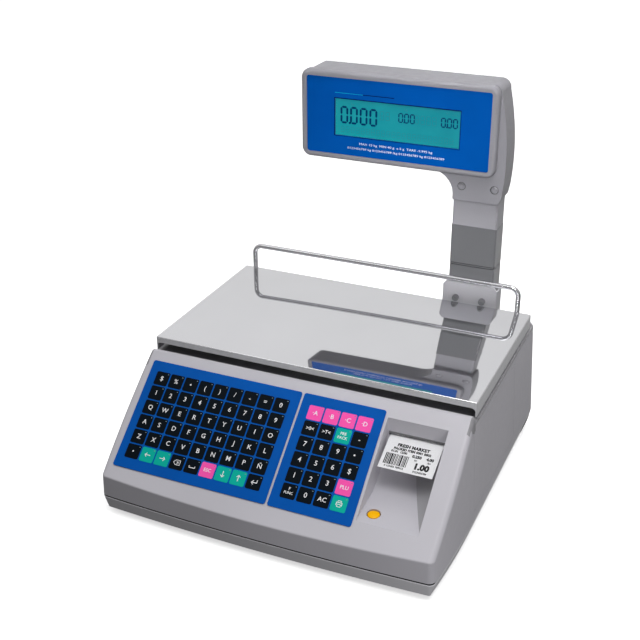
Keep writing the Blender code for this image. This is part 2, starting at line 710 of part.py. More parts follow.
def load_cell():
    y0, y1 = CELL_Y - CELL_HALF[1], CELL_Y + CELL_HALF[1]
    cell = box("load_cell", (-CELL_HALF[0], CELL_HALF[0]), (y0, y1), CELL_Z, ALUMINIUM)
    middle = (CELL_Z[0] + CELL_Z[1]) / 2
    for x, label in ((-9 * MM, "left"), (9 * MM, "right")):
        bore = disc(f"cell_bore_{label}", "Y", (x, middle), 8 * MM, 0, 100 * MM, helper=True, sides=24)
        cut(cell, bore)
    web_z = (middle - 4 * MM, middle + 4 * MM)
    cut(cell, box("cell_web", (-9 * MM, 9 * MM), (0, 100 * MM), web_z, helper=True))
    return bevel(cell, 0.8 * MM, 1)


def cell_blocks():
    """The block under the cell's fixed end, and the stepped one on its free end."""
    ys = (CELL_Y - 13 * MM, CELL_Y + 13 * MM)
    floor = BASE_Z + 2.6 * MM
    end = CELL_HALF[0]
    lower = box("cell_mount_block", (-end, -30 * MM), ys, (floor + GAP, CELL_Z[0] - GAP), ALUMINIUM)
    upper = box("cell_top_block", (30 * MM, end), ys, (CELL_Z[1] + GAP, 121 * MM), ALUMINIUM)
    bridge = box("top_block_bridge", (-20 * MM, end), ys, (108 * MM, 121.2 * MM), helper=True)
    post = box("top_block_post", (-20 * MM, 20 * MM), ys, (120 * MM, 141.5 * MM), helper=True)
    join(upper, bridge, post)
    return lower, upper


def platform_spider():
    """A cast cross under the platter, carried by the load cell's top block."""
    low, high = 141.8 * MM, 149 * MM
    plan = rounded((-34 * MM, 34 * MM), (CELL_Y - 24 * MM, CELL_Y + 24 * MM), 5 * MM)
    hub = prism("platform_spider", plan, "Z", low, high, ALUMINIUM)
    reach, spread = STUD_XY
    direction = Vector((reach, spread)).normalized()
    across = Vector((-direction.y, direction.x)) * 8 * MM
    for mirror, name in ((1, "spider_arm_a"), (-1, "spider_arm_b")):
        tip = Vector((reach + 6 * MM, spread + 3 * MM))
        ends = (tip + across, tip - across, -tip - across, -tip + across)
        outline = [(p.x, CELL_Y + mirror * p.y) for p in ends]
        join(hub, prism(name, outline, "Z", low + 0.2 * MM, high - 0.2 * MM, helper=True))
    return hub


def studs():
    low, high = 149 * MM + GAP, PLATE_TOP - PLATE_SKIN - GAP
    profile = [(0, low), (8 * MM, low), (8 * MM, high - 1.5 * MM), (6.5 * MM, high), (0, high)]
    for name, x, y in corners(STUD_XY, CELL_Y):
        turned(f"platter_stud_{name}", "Z", (x, y), profile, RUBBER, sides=20)


def platter():
    """A folded sheet: deep flanges at the sides, shallow ones at the front and rear."""
    plate = box("platter", (-PLATE_X, PLATE_X), PLATE_Y, (PLATE_TOP - PLATE_SKIN, PLATE_TOP), STEEL)
    t = PLATE_SKIN
    top = PLATE_TOP - 0.2 * MM
    deep, shallow = (PLATE_TOP - SIDE_FLANGE, top), (PLATE_TOP - FRONT_FLANGE, top)
    flanges = {
        "flange_left": ((-PLATE_X, -PLATE_X + t), PLATE_Y, deep),
        "flange_right": ((PLATE_X - t, PLATE_X), PLATE_Y, deep),
        "flange_front": ((-PLATE_X, PLATE_X), (PLATE_Y[0], PLATE_Y[0] + t), shallow),
        "flange_rear": ((-PLATE_X, PLATE_X), (PLATE_Y[1] - t, PLATE_Y[1]), shallow),
    }
    join(plate, *[box(name, *spans, helper=True) for name, spans in flanges.items()])
    bevel(plate, 0.5 * MM, 2, angle=60)
    for x, label in ((-GUARD_X, "left"), (GUARD_X, "right")):
        zs = (PLATE_TOP - 5 * MM, PLATE_TOP + 5 * MM)
        cut(plate, disc(f"guard_hole_{label}", "Z", (x, GUARD_Y), GUARD_R + GAP, *zs, helper=True))
    return plate


def platter_guard():
    """One bent wire: a bar and two legs that pass through the plate."""
    foot = PLATE_TOP - GUARD_LEG
    left = arc((-GUARD_X + GUARD_BEND, GUARD_TOP - GUARD_BEND), GUARD_BEND, 180, 90, 6)
    right = arc((GUARD_X - GUARD_BEND, GUARD_TOP - GUARD_BEND), GUARD_BEND, 90, 0, 6)
    path = [(-GUARD_X, foot)] + left + right + [(GUARD_X, foot)]
    curve = bpy.data.curves.new("guard_path", "CURVE")
    curve.dimensions = "3D"
    line = curve.splines.new("POLY")
    line.points.add(len(path) - 1)
    for point, (x, z) in zip(line.points, path):
        point.co = (x, GUARD_Y, z, 1)
    curve.bevel_depth = GUARD_R
    curve.bevel_resolution = 2
    curve.use_fill_caps = True
    return add("platter_guard", curve, CHROME)


# ---------------------------------------------------------------- base pieces

def feet():
    top = BASE_Z - GAP
    profile = [(0, 0), (FOOT_R - 1.5 * MM, 0), (FOOT_R, 1.5 * MM), (FOOT_R, 4 * MM), (FOOT_R - 2 * MM, top),
               (4 * MM, top), (4 * MM, 17 * MM), (0, 17 * MM)]
    for name, x, y in corners():
        foot = turned(f"levelling_foot_{name}", "Z", (x, y), profile, RUBBER, sides=24)
        set_origin(foot, (x, y, 0))


def rear_panel():
    """The mains inlet, its rocker switch and the block of data ports, set in the rear wall."""
    depth = (172 * MM, 196.8 * MM)
    socket = box("power_inlet", (-120 * MM, -72 * MM), depth, (44 * MM, 72 * MM), PLASTIC_BLACK)
    opening = ((-108 * MM, -84 * MM), (180 * MM, 205 * MM), (50 * MM, 66 * MM))
    cut(socket, box("inlet_socket", *opening, helper=True))
    outline = [(189 * MM, 52.6 * MM), (194.6 * MM, 51.9 * MM), (196 * MM, 58 * MM), (197.2 * MM, 64.1 * MM),
               (189 * MM, 63.4 * MM)]
    rocker = prism("power_switch", outline, "X", -149.5 * MM, -130.5 * MM, PLASTIC_BLACK)
    set_origin(rocker, (0, 190 * MM, 58 * MM))
    ports = box("data_ports", (-29.7 * MM, 29.7 * MM), depth, (44.3 * MM, 65.7 * MM), PLASTIC_BLACK)
    for k, half in enumerate((8 * MM, 7 * MM, 6 * MM)):
        middle = (-18 + 19 * k) * MM
        span = ((middle - half, middle + half), (186 * MM, 205 * MM), (50 * MM, 60 * MM))
        cut(ports, box(f"port_{k}", *span, helper=True))


def bubble_level():
    profile = [(0, 131 * MM), (9 * MM, 131 * MM), (9 * MM, DECK_Z + 0.6 * MM),
               (7.5 * MM, DECK_Z + 1.4 * MM), (0, DECK_Z + 1.6 * MM)]
    return turned("bubble_level", "Z", LEVEL_XY, profile, LCD_TEAL, sides=24)


def main_board():
    low = BASE_Z + 8.6 * MM
    plan = rounded((-150 * MM, -20 * MM), (-150 * MM, -40 * MM), 2 * MM)
    return prism("main_board", plan, "Z", low, low + 1.6 * MM, BOARD)


def power_supply():
    floor = BASE_Z + 2.6 * MM
    zs = (floor + GAP, floor + 32 * MM)
    return bevel(box("power_supply", (-170 * MM, -80 * MM), (90 * MM, 150 * MM), zs, ZINC), 1 * MM, 1)


# ---------------------------------------------------------------- mast

def mast_bracket():
    """A folded foot, bolted to the rear deck, that the post stands in."""
    x0, x1 = 76.5 * MM, 143.5 * MM
    low, shoulder, top = DECK_Z + GAP, 172 * MM, 180 * MM
    face = [(x0, low), (x1, low), (x1, shoulder), (x1 - 6 * MM, top), (x0 + 6 * MM, top), (x0, shoulder)]
    bracket = prism("mast_bracket", face, "Y", 165.2 * MM, 167.7 * MM, MAST_GREY)
    sides = (((x0, x0 + 2 * MM), "left"), ((x1 - 2 * MM, x1), "right"))
    for xs, label in sides:
        spans = (xs, (165.4 * MM, 186 * MM), (low, shoulder - 1 * MM))
        join(bracket, box(f"bracket_side_{label}", *spans, helper=True))
    return bolt_holes(bracket, "bracket")


def bolt_holes(target, prefix):
    for label, x in BOLT_X:
        ys = (160 * MM, 180 * MM)
        cut(target, disc(f"{prefix}_hole_{label}", "Y", (x, BOLT_Z), 2.7 * MM, *ys, helper=True, sides=20))
    return target


def mast_post():
    """A channel open to the rear."""
    low = DECK_Z + GAP
    wall = 2 * MM
    (x0, x1), (y0, y1) = MAST_X, MAST_Y
    outline = [(x0, y1), (x0, y0), (x1, y0), (x1, y1),
               (x1 - wall, y1), (x1 - wall, y0 + wall), (x0 + wall, y0 + wall), (x0 + wall, y1)]
    return bolt_holes(prism("mast_post", outline, "Z", low, MAST_TOP, MAST_GREY), "post")


def bracket_bolts():
    profile = [(0, 160.2 * MM), (3.4 * MM, 160.2 * MM), (4.7 * MM, 161.6 * MM), (4.7 * MM, 164.9 * MM),
               (2.5 * MM, 164.9 * MM), (2.5 * MM, 174 * MM), (0, 174 * MM)]
    for label, x in BOLT_X:
        turned(f"bracket_bolt_{label}", "Y", (x, BOLT_Z), profile, PLASTIC_BLACK, sides=24)


def mast_rear_cover():
    """A strip that closes the channel's open rear, over the display's cable."""
    xs = (MAST_X[0] + 2.3 * MM, MAST_X[1] - 2.3 * MM)
    strip = box("mast_rear_cover", xs, (193.6 * MM, 195.6 * MM), (150 * MM, 310 * MM), BASE_GREY)
    return bevel(strip, 0.6 * MM, 1)


# ---------------------------------------------------------------- display head

def head_side(steps):
    """The head's bulging right side, from the arm up to the top corner."""
    low, rise = ARM_BOTTOM + 14 * MM, HEAD_Z[1] - ARM_BOTTOM - 26 * MM
    shares = [k / steps for k in range(steps + 1)]
    return [((142.5 + 12.5 * t - 19.5 * t * t) * MM, low + rise * t) for t in shares]


def head_outline():
    """The head's front view with its gusset down to the mast, as (x, z)."""
    x0 = HEAD_X[0]
    z0, z1 = HEAD_Z
    arm_x0, arm_z0 = 84.5 * MM, ARM_BOTTOM
    corner = 11 * MM
    bow = head_side(8)
    outline = bow + arc((bow[-1][0] - corner, z1 - corner), corner, 10, 90, 3)
    outline += arc((x0 + corner + 2 * MM, z1 - 4 * MM), 4 * MM, 90, 120, 1)
    outline += arc((x0 + 5 * MM, z1 - 19 * MM), 5 * MM, 145, 180, 1)
    outline += arc((x0 + corner, z0 + corner), corner, 180, 270, 4)
    sweep = 27 * MM
    outline += arc((arm_x0 - sweep, z0 - sweep), sweep, 90, 0, 6)
    outline += [(arm_x0, arm_z0), (bow[0][0] - 8 * MM, arm_z0)]
    return outline


def rear_housing():
    """The head's body: a shell open to the front, with the arm that grips the mast."""
    housing = prism("head_rear_housing", head_outline(), "Y", BEZEL_BACK + GAP, HEAD_Y[1], HEAD_GREY)
    bevel(housing, 4 * MM, 2, angle=60)
    x0, x1 = HEAD_X[0] + 4 * MM, HEAD_X[1] - 4 * MM
    z0, z1 = HEAD_Z[0] + 4 * MM, HEAD_Z[1] - 4 * MM
    inside = [(x0, z0), (x1, z0), (x1, z1), (x0 + 22 * MM, z1), (x0, z1 - 24 * MM)]
    cut(housing, prism("head_hollow", inside, "Y", 150 * MM, 190 * MM, helper=True))
    post_x = (MAST_X[0] - 0.4 * MM, MAST_X[1] + 0.4 * MM)
    post_y = MAST_Y[0] - 0.4 * MM
    openings = {
        "mast_channel": (post_x, (post_y, 200 * MM), (280 * MM, MAST_TOP + 0.5 * MM)),
        "mast_lip": (post_x, (post_y, 190 * MM), (MAST_TOP - 1 * MM, HEAD_Z[0] + 5 * MM)),
        "rear_lcd_hole": (REAR_OPENING_X, (185 * MM, 200 * MM), REAR_OPENING_Z),
    }
    cut(housing, *[box(name, *spans, helper=True) for name, spans in openings.items()])
    seat = rounded((REAR_LCD_X[0] - 20 * MM, REAR_LCD_X[1] + 20 * MM), (340 * MM, 410 * MM), 4 * MM)
    cut(housing, prism("rear_window", seat, "Y", 193.2 * MM, 200 * MM, helper=True))
    for label, x in CAP_X:
        ys = (150 * MM, 160.5 * MM)
        cut(housing, disc(f"cap_seat_{label}", "Y", (x, CAP_Z), 4.6 * MM, *ys, helper=True, sides=20))
    return housing


def front_bezel():
    """The rim round the blue panel, with the panel's seat and the display's window."""
    outline = rounded(HEAD_X, HEAD_Z, 11 * MM, 5)
    bezel = prism("head_front_bezel", outline, "Y", HEAD_Y[0] - 1.2 * MM, BEZEL_BACK, HEAD_GREY)
    bevel(bezel, 2.2 * MM, 3, angle=60)
    plan = rounded(PANEL_X, PANEL_Z, 3 * MM)
    seat = prism("panel_seat", plan, "Y", 140 * MM, HEAD_Y[0] + 1.2 * MM, helper=True)
    xs, zs = (LCD_X[0] - 1 * MM, LCD_X[1] + 1 * MM), (LCD_Z[0] - 1 * MM, LCD_Z[1] + 1 * MM)
    window = box("lcd_window", xs, (140 * MM, 165 * MM), zs, helper=True)
    return cut(bezel, seat, window)


def front_panel():
    """The printed panel, open where the display shows."""
    inset = 0.25 * MM
    xs, zs = (PANEL_X[0] + inset, PANEL_X[1] - inset), (PANEL_Z[0] + inset, PANEL_Z[1] - inset)
    plan = rounded(xs, zs, 2.8 * MM)
    panel = prism("display_panel_front", plan, "Y", HEAD_Y[0], HEAD_Y[0] + 0.9 * MM, FILM_BLUE)
    return cut(panel, box("panel_window", LCD_X, (140 * MM, 160 * MM), LCD_Z, helper=True))


def displays():
    inset = 0.4 * MM
    xs, zs = (LCD_X[0] + inset, LCD_X[1] - inset), (LCD_Z[0] + inset, LCD_Z[1] - inset)
    box("lcd_front", xs, (HEAD_Y[0] + 0.7 * MM, 155 * MM), zs, LCD_TEAL)
    box("display_board", (-72 * MM, 122 * MM), (170 * MM, 171.6 * MM), (332 * MM, 410 * MM), BOARD)
    (x0, x1), (z0, z1) = REAR_OPENING_X, REAR_OPENING_Z
    box("lcd_rear", (x0 + GAP, x1 - GAP), (183 * MM, 193.6 * MM), (z0 + GAP, z1 - GAP), LCD_TEAL)
    seat_x = (REAR_LCD_X[0] - 19.7 * MM, REAR_LCD_X[1] + 19.7 * MM)
    outline = rounded(seat_x, (340.3 * MM, 409.7 * MM), 3.8 * MM)
    panel = prism("display_panel_rear", outline, "Y", 193.5 * MM, 194.6 * MM, FILM_BLUE)
    window = box("rear_panel_window", REAR_OPENING_X, (190 * MM, 200 * MM), REAR_OPENING_Z, helper=True)
    cut(panel, window)


def screw_caps():
    profile = [(0, 157.6 * MM), (3.6 * MM, 157.6 * MM), (4.3 * MM, 158.2 * MM), (4.3 * MM, 160.2 * MM),
               (0, 160.2 * MM)]
    for label, x in CAP_X:
        turned(f"arm_screw_cap_{label}", "Y", (x, CAP_Z), profile, HEAD_GREY, sides=24)


def build():
    upper_casing()
    printer_door()
    base_tray()
    bumper(-1, "left")
    bumper(1, "right")
    film("keypad_left", KEYPAD_LEFT_X)
    film("keypad_right", KEYPAD_RIGHT_X)
    keyboard_board()
    sensor_lens()
    printed_label()
    printer_frame()
    platen_roller()
    printer_gears()
    print_motor()
    print_head()
    peel_bar()
    roll_spindle()
    label_roll()
    takeup_spool()
    load_cell()
    cell_blocks()
    platform_spider()
    studs()
    platter()
    platter_guard()
    feet()
    main_board()
    power_supply()
    rear_panel()
    bubble_level()
    mast_bracket()
    mast_post()
    bracket_bolts()
    mast_rear_cover()
    rear_housing()
    front_bezel()
    front_panel()
    displays()
    screw_caps()


build()
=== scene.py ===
"""The looks of a counter-top label printing scale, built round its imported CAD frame."""

import math
import random

import bmesh
import bpy
from mathutils import Matrix, Vector

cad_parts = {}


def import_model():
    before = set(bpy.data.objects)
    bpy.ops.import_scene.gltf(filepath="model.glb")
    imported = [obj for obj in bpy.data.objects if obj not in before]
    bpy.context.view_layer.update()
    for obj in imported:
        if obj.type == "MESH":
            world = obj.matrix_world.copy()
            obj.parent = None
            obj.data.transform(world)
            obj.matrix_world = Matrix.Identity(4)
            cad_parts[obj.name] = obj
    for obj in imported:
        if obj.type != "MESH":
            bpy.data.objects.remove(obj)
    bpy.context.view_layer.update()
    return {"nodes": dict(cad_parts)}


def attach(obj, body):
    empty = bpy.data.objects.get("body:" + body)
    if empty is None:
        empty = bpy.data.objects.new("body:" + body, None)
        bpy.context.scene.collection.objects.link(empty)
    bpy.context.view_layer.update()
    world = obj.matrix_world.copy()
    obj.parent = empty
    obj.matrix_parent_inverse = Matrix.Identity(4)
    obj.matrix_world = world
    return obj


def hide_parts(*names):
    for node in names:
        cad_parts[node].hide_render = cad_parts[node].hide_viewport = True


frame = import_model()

MM = 0.001
SIDES = ((-1, "left"), (1, "right"))


def mm(*values):
    """Values in millimetres, in metres."""
    return tuple(v * MM for v in values)


# The casing, as in the CAD source
DECK_Z = 138.5 * MM
RIDGE_Z = 146 * MM
SEAM_Z = 24.4 * MM
BASE_Z = 6 * MM
HALF_WIDTH = 196 * MM
HALF_DEPTH = 197.5 * MM
FASCIA_BOW = 5 * MM
FRONT_CORNER = 7 * MM
REAR_CORNER = 32 * MM
SIDE_FLARE = 6.5 * MM
SIDE_BOW = 0.5
SIDE_STRAIGHT_Y = -80 * MM
WALL = 2.6 * MM
CHUTE_WALL = 2.4 * MM
SLOPE = math.radians(39.65)
FACE_TOP_Y = -75.5 * MM
RIDGE_BACK_Y = -71 * MM
KEYPAD_LEFT_X = mm(-179, 4)
KEYPAD_RIGHT_X = mm(6.6, 99)
KEYPAD_S = mm(11.4, 137.4)
RECESS_X = mm(102, 167)
RECESS_TOP_Y = -89.3 * MM
RECESS_FRONT_Y = -175.4 * MM
SWEEP_CENTRE = mm(-146, 122)
SLOT_X = mm(103.5, 165.5)
SLOT_Z = mm(114.0, 117.2)
LABEL_X = mm(105.5, 163.5)
LENS_XY = mm(115, -160)
DOOR_Y = mm(-76, 84)
DOOR_Z = mm(34, 130)
DOOR_GAP = 0.5 * MM
CELL_Y = 46.5 * MM
LEVEL_XY = mm(-150, 176)
REAR_BLOCK_Y = mm(172, 196.8)
ROLL = mm(10, 79)
FOOT_AT = 158 * MM

# How finely the casing's curves are cut
FILLET_STEPS = 6
SLOPE_COUNT = 20
ACROSS = 40
ROUND_STEPS = 10

# Platter and its guard
PLATE_X = 188 * MM
PLATE_Y = mm(-65, 158)
PLATE_TOP = 158 * MM
GUARD_X = 172 * MM
GUARD_Y = 153.5 * MM

# Mast and display head
MAST_X = mm(82.3, 137.6)
MAST_Y = mm(168.5, 196)
MAST_TOP = 318 * MM
BOLT_X = ((93.5 * MM, "left"), (126.1 * MM, "right"))
BOLT_Z = 160.4 * MM
ARM_BOTTOM = 286.5 * MM
CAP_X = ((94.8 * MM, "left"), (133.5 * MM, "right"))
CAP_Z = 303.7 * MM
HEAD_X = mm(-102.5, 134.5)
HEAD_Z = mm(319.4, 424)
HEAD_Y = mm(149.5, 196)
BEZEL_BACK = 158 * MM
PANEL_X = mm(-95.2, 127.2)
PANEL_Z = mm(326.2, 417)
LCD_X = mm(-59.4, 91.8)
LCD_Z = mm(349.2, 392.6)
REAR_LCD_X = mm(-60, 92)
REAR_WINDOW_X = mm(-58, 90)
REAR_WINDOW_Z = mm(352, 390)


# ---------------------------------------------------------------- materials

# The brushing's height on polished sheet, and the sheet's crown: its highest point and its fall along X and Y
SHEET_GRAIN = 0.0000001
CROWN_MIDDLE = (-0.07, 0.04)
CROWN_FALL = (0.19, 0.43)


def linear(*srgb):
    """Linear colour from 0-255 screen values."""
    share = [v / 255 for v in srgb]
    return tuple(v / 12.92 if v <= 0.04045 else ((v + 0.055) / 1.055) ** 2.4 for v in share)


class Finish:
    """A Principled material with a few helpers for its node tree."""

    def __init__(self, name, roughness=0.5, metallic=0.0, **sockets):
        self.material = bpy.data.materials.new(name)
        self.material.use_nodes = True
        self.nodes = self.material.node_tree.nodes
        self.links = self.material.node_tree.links
        self.shader = self.nodes["Principled BSDF"]
        self.fill(self.shader, Roughness=roughness, Metallic=metallic, **sockets)
        self.place = self.node("TexCoord").outputs["Object"]

    def feed(self, socket, value):
        """Links the socket to an output, or gives it a plain value."""
        if hasattr(value, "is_output"):
            self.links.new(value, socket)
        elif socket.type == "RGBA":
            socket.default_value = (*value[:3], 1)
        else:
            socket.default_value = value

    def fill(self, node, **values):
        for key, value in values.items():
            self.feed(node.inputs[key.replace("_", " ")], value)

    def node(self, kind, **values):
        node = self.nodes.new("ShaderNode" + kind)
        self.fill(node, **values)
        return node

    def stretched(self, scale):
        return self.node("Mapping", Scale=scale, Vector=self.place).outputs["Vector"]

    def noise(self, scale, detail=3.0, vector=None):
        return self.node("TexNoise", Scale=scale, Detail=detail, Vector=vector or self.place).outputs["Fac"]

    def cells(self, scale):
        return self.node("TexVoronoi", Scale=scale, Vector=self.place).outputs["Distance"]

    def spread(self, value, low, high, start=0.3, end=0.7):
        node = self.node("MapRange", From_Min=start, From_Max=end, To_Min=low, To_Max=high, Value=value)
        return node.outputs["Result"]

    def mix(self, share, first, second):
        node = self.nodes.new("ShaderNodeMix")
        node.data_type = "RGBA"
        colours = [s for s in node.inputs if s.type == "RGBA"]
        for socket, value in zip((node.inputs[0], *colours), (share, first, second)):
            self.feed(socket, value)
        return next(s for s in node.outputs if s.type == "RGBA")

    def maths(self, operation, first, second):
        node = self.nodes.new("ShaderNodeMath")
        node.operation = operation
        for socket, value in zip(node.inputs, (first, second)):
            self.feed(socket, value)
        return node.outputs["Value"]

    def product(self, first, second):
        return self.maths("MULTIPLY", first, second)

    def colour(self, value):
        self.fill(self.shader, Base_Color=value)

    def tint(self, value, colour, low, high):
        """Colours the surface between two shades of one colour, as value varies."""
        self.colour(self.mix(self.spread(value, 0, 1), shade(colour, low), shade(colour, high)))

    def rough(self, value):
        self.fill(self.shader, Roughness=value)

    def bumps(self, value, strength, depth):
        node = self.node("Bump", Strength=strength, Distance=depth, Height=value)
        self.fill(self.shader, Normal=node.outputs["Normal"])


def shade(colour, share):
    return tuple(min(1.0, c * share) for c in colour)


def moulded(name, colour, roughness, grain=1100.0, depth=0.02, mottle=0.03, **sockets):
    """Injection-moulded plastic: fine spark-eroded grain, faint flow mottling."""
    made = Finish(name, roughness, **sockets)
    made.tint(made.noise(9.0, 2.0), colour, 1 - mottle, 1 + mottle)
    made.rough(made.spread(made.noise(140.0, 3.0), roughness - 0.04, roughness + 0.05))
    made.bumps(made.noise(grain, 4.0), 0.35, depth * MM)
    return made.material


def metal(name, colour, roughness, stretch=(1, 1, 1), scale=300.0, depth=0.004, metallic=1.0, strength=0.25,
          smear=0.05):
    """Drawn, brushed or cast metal, by how its grain is stretched."""
    made = Finish(name, roughness, metallic)
    grain = made.noise(scale, 4.0, made.stretched(stretch))
    made.tint(made.noise(11.0, 3.0), colour, 0.97, 1.03)
    made.rough(made.spread(grain, max(0.02, roughness - smear), roughness + smear))
    made.bumps(grain, strength, depth * MM)
    return made.material


def sheet_steel(name, colour, roughness):
    """Polished sheet, faintly brushed and very slightly out of flat, as folded sheet is."""
    made = Finish(name, roughness, 0.95)
    grain = made.noise(260.0, 4.0, made.stretched((1, 14, 14)))
    made.tint(made.noise(11.0, 3.0), colour, 0.98, 1.02)
    made.rough(made.spread(grain, roughness - 0.01, roughness + 0.015))
    split = made.node("SeparateXYZ", Vector=made.place)
    height = made.product(grain, SHEET_GRAIN)
    for axis, middle, fall in zip("XY", CROWN_MIDDLE, CROWN_FALL):
        offset = made.maths("ADD", split.outputs[axis], -middle)
        height = made.maths("ADD", height, made.product(made.product(offset, offset), -fall))
    made.bumps(height, 1.0, 1.0)
    return made.material


def film_finish(name, colour, roughness=0.36):
    """Printed polyester film with its fine matt texture."""
    made = Finish(name, roughness, Specular_IOR_Level=0.05)
    made.tint(made.noise(26.0, 2.0), colour, 0.96, 1.05)
    made.rough(made.spread(made.noise(420.0, 3.0), roughness - 0.04, roughness + 0.06))
    made.bumps(made.cells(1900.0), 0.15, 0.01 * MM)
    return made.material


def circuit_finish(name):
    """Green solder mask over copper tracks."""
    made = Finish(name, 0.35, Specular_IOR_Level=0.5)
    tracks = made.node("TexBrick", Scale=90.0, Mortar_Size=0.06, Color1=(0.004, 0.10, 0.04),
                       Color2=(0.006, 0.13, 0.05), Mortar=(0.03, 0.22, 0.08), Vector=made.place)
    made.colour(tracks.outputs["Color"])
    made.rough(made.spread(made.noise(300.0), 0.3, 0.42))
    made.bumps(tracks.outputs["Fac"], 0.3, 0.03 * MM)
    return made.material


def paper_finish(name, colour):
    made = Finish(name, 0.75, Specular_IOR_Level=0.3)
    fibre = made.noise(700.0, 5.0)
    made.tint(fibre, colour, 0.95, 1.02)
    made.bumps(fibre, 0.3, 0.02 * MM)
    return made.material


def wound_finish(name, colour):
    """The side of a paper roll: rings where its turns meet."""
    made = Finish(name, 0.7)
    shifted = made.node("Mapping", Location=(0, -ROLL[0], -ROLL[1]), Vector=made.place)
    waves = made.node("TexWave", Scale=420.0, Distortion=0.6, Vector=shifted.outputs["Vector"])
    waves.wave_type = "RINGS"
    waves.rings_direction = "X"
    made.colour(made.mix(made.spread(waves.outputs["Fac"], 0, 1, 0, 1), shade(colour, 0.82), colour))
    made.bumps(waves.outputs["Fac"], 0.3, 0.05 * MM)
    return made.material


def lcd_finish(name):
    """A backlit display: brighter to the lower left, faintly clouded."""
    made = Finish(name, 0.16, Coat_Weight=0.6, Coat_Roughness=0.08)
    split = made.node("SeparateXYZ", Vector=made.place)
    across = made.spread(split.outputs["X"], 0, 1, *LCD_X)
    rise = made.spread(split.outputs["Z"], 0, 0.55, *LCD_Z)
    cloud = made.spread(made.noise(38.0, 2.0), 0, 0.35)
    tone = made.mix(across, linear(0, 138, 146), linear(10, 120, 132))
    tone = made.mix(rise, tone, linear(6, 112, 126))
    tone = made.mix(cloud, tone, linear(18, 142, 150))
    made.colour(tone)
    made.fill(made.shader, Emission_Color=tone, Emission_Strength=0.26)
    made.bumps(made.noise(2500.0), 0.05, 0.005 * MM)
    return made.material


def glazed(name, colour, roughness=0.12, **sockets):
    made = Finish(name, roughness, **sockets)
    made.tint(made.noise(60.0), colour, 0.93, 1)
    made.bumps(made.noise(600.0), 0.06, 0.01 * MM)
    return made.material


CASING = moulded("casing_plastic", linear(191, 189, 196), 0.42)
BASE = moulded("base_plastic", linear(218, 217, 222), 0.5, grain=800.0, depth=0.03)
HEAD = moulded("head_plastic", linear(140, 139, 145), 0.42)
GROOVE = moulded("shadow_plastic", linear(34, 34, 37), 0.6)
# Painted shade: a darker grey laid on the deck under the plate and above the label slot, where shade falls
SHADE_SKIN = moulded("deck_painted_shade", linear(112, 112, 114), 0.8, grain=700.0, depth=0.03)
# Painted shade: a darker grey for the casing's side ledges beside the plate, where shade falls
LEDGE_SHADE = moulded("ledge_painted_shade", linear(138, 137, 141), 0.5)
# Painted shade: a darker casing grey for the recess facet, standing in for the right wall's cast shadow
FACET_SHADE = moulded("recess_facet", linear(156, 155, 159), 0.42)
BLACK = moulded("black_plastic", linear(34, 34, 37), 0.45, grain=900.0)
GEAR = moulded("acetal_black", linear(28, 28, 30), 0.35, grain=2000.0, depth=0.005)
RUBBER = moulded("rubber", linear(30, 30, 31), 0.82, grain=700.0, depth=0.05, mottle=0.1)
STEEL = sheet_steel("polished_stainless", linear(210, 210, 213), 0.035)
FLANGE = metal("stainless_fold", linear(208, 208, 211), 0.34, (14, 1, 14), 260.0, 0.002, 0.2)
CHROME = metal("chrome_wire", linear(206, 206, 209), 0.24, (1, 1, 1), 500.0, 0.0015, 1.0, 0.1, 0.02)
ZINC = metal("zinc_sheet", linear(186, 188, 192), 0.36, (1, 1, 1), 120.0, 0.006)
CAST = metal("cast_aluminium", linear(176, 177, 180), 0.5, (1, 1, 1), 900.0, 0.05)
MACHINED = metal("machined_aluminium", linear(200, 201, 204), 0.28, (1, 18, 18), 400.0, 0.006)
PAINT = moulded("mast_paint", linear(157, 156, 162), 0.38, grain=500.0, depth=0.015)
BRACKET = moulded("bracket_paint", linear(178, 177, 182), 0.4, grain=500.0, depth=0.015)
PAINT_DARK = moulded("mast_paint_dark", linear(109, 110, 113), 0.36, grain=500.0, depth=0.015)
# Painted light: a lighter copy of the dark mast paint for the post's right side, which catches more light
PAINT_LIT_SIDE = moulded("mast_paint_lit_side", linear(150, 150, 153), 0.36, grain=500.0, depth=0.015)
BOLT = metal("bolt_steel", linear(128, 128, 132), 0.42, (1, 1, 1), 600.0, 0.01, 0.6)
BLUE = film_finish("film_blue", linear(0, 84, 172))
BLUE_HEAD = film_finish("film_blue_head", linear(0, 79, 163))
KEY_BLACK = film_finish("key_black", linear(3, 12, 20), 0.3)
KEY_PINK = film_finish("key_pink", (1.0, 0.10, 0.44), 0.32)
KEY_GREEN = film_finish("key_green", linear(8, 176, 158), 0.32)
WHITE_INK = film_finish("white_ink", (0.9, 0.9, 0.92), 0.4)
FAINT_INK = film_finish("faint_ink", linear(120, 140, 150), 0.4)
CYAN_INK = film_finish("cyan_ink", linear(20, 170, 205), 0.4)
NAVY_INK = film_finish("navy_ink", linear(8, 22, 66), 0.4)
PAPER = paper_finish("label_paper", (0.82, 0.82, 0.84))
INK = paper_finish("thermal_ink", (0.02, 0.02, 0.022))
WOUND = wound_finish("wound_paper", (0.86, 0.86, 0.84))
BACKING = paper_finish("backing_paper", linear(232, 214, 150))
LCD = lcd_finish("lcd_backlit")
LCD_DARK = glazed("lcd_segment", linear(0, 58, 96), 0.4, Specular_IOR_Level=0.05)
LCD_GHOST = glazed("lcd_segment_off", linear(24, 124, 140), 0.4, Specular_IOR_Level=0.05)
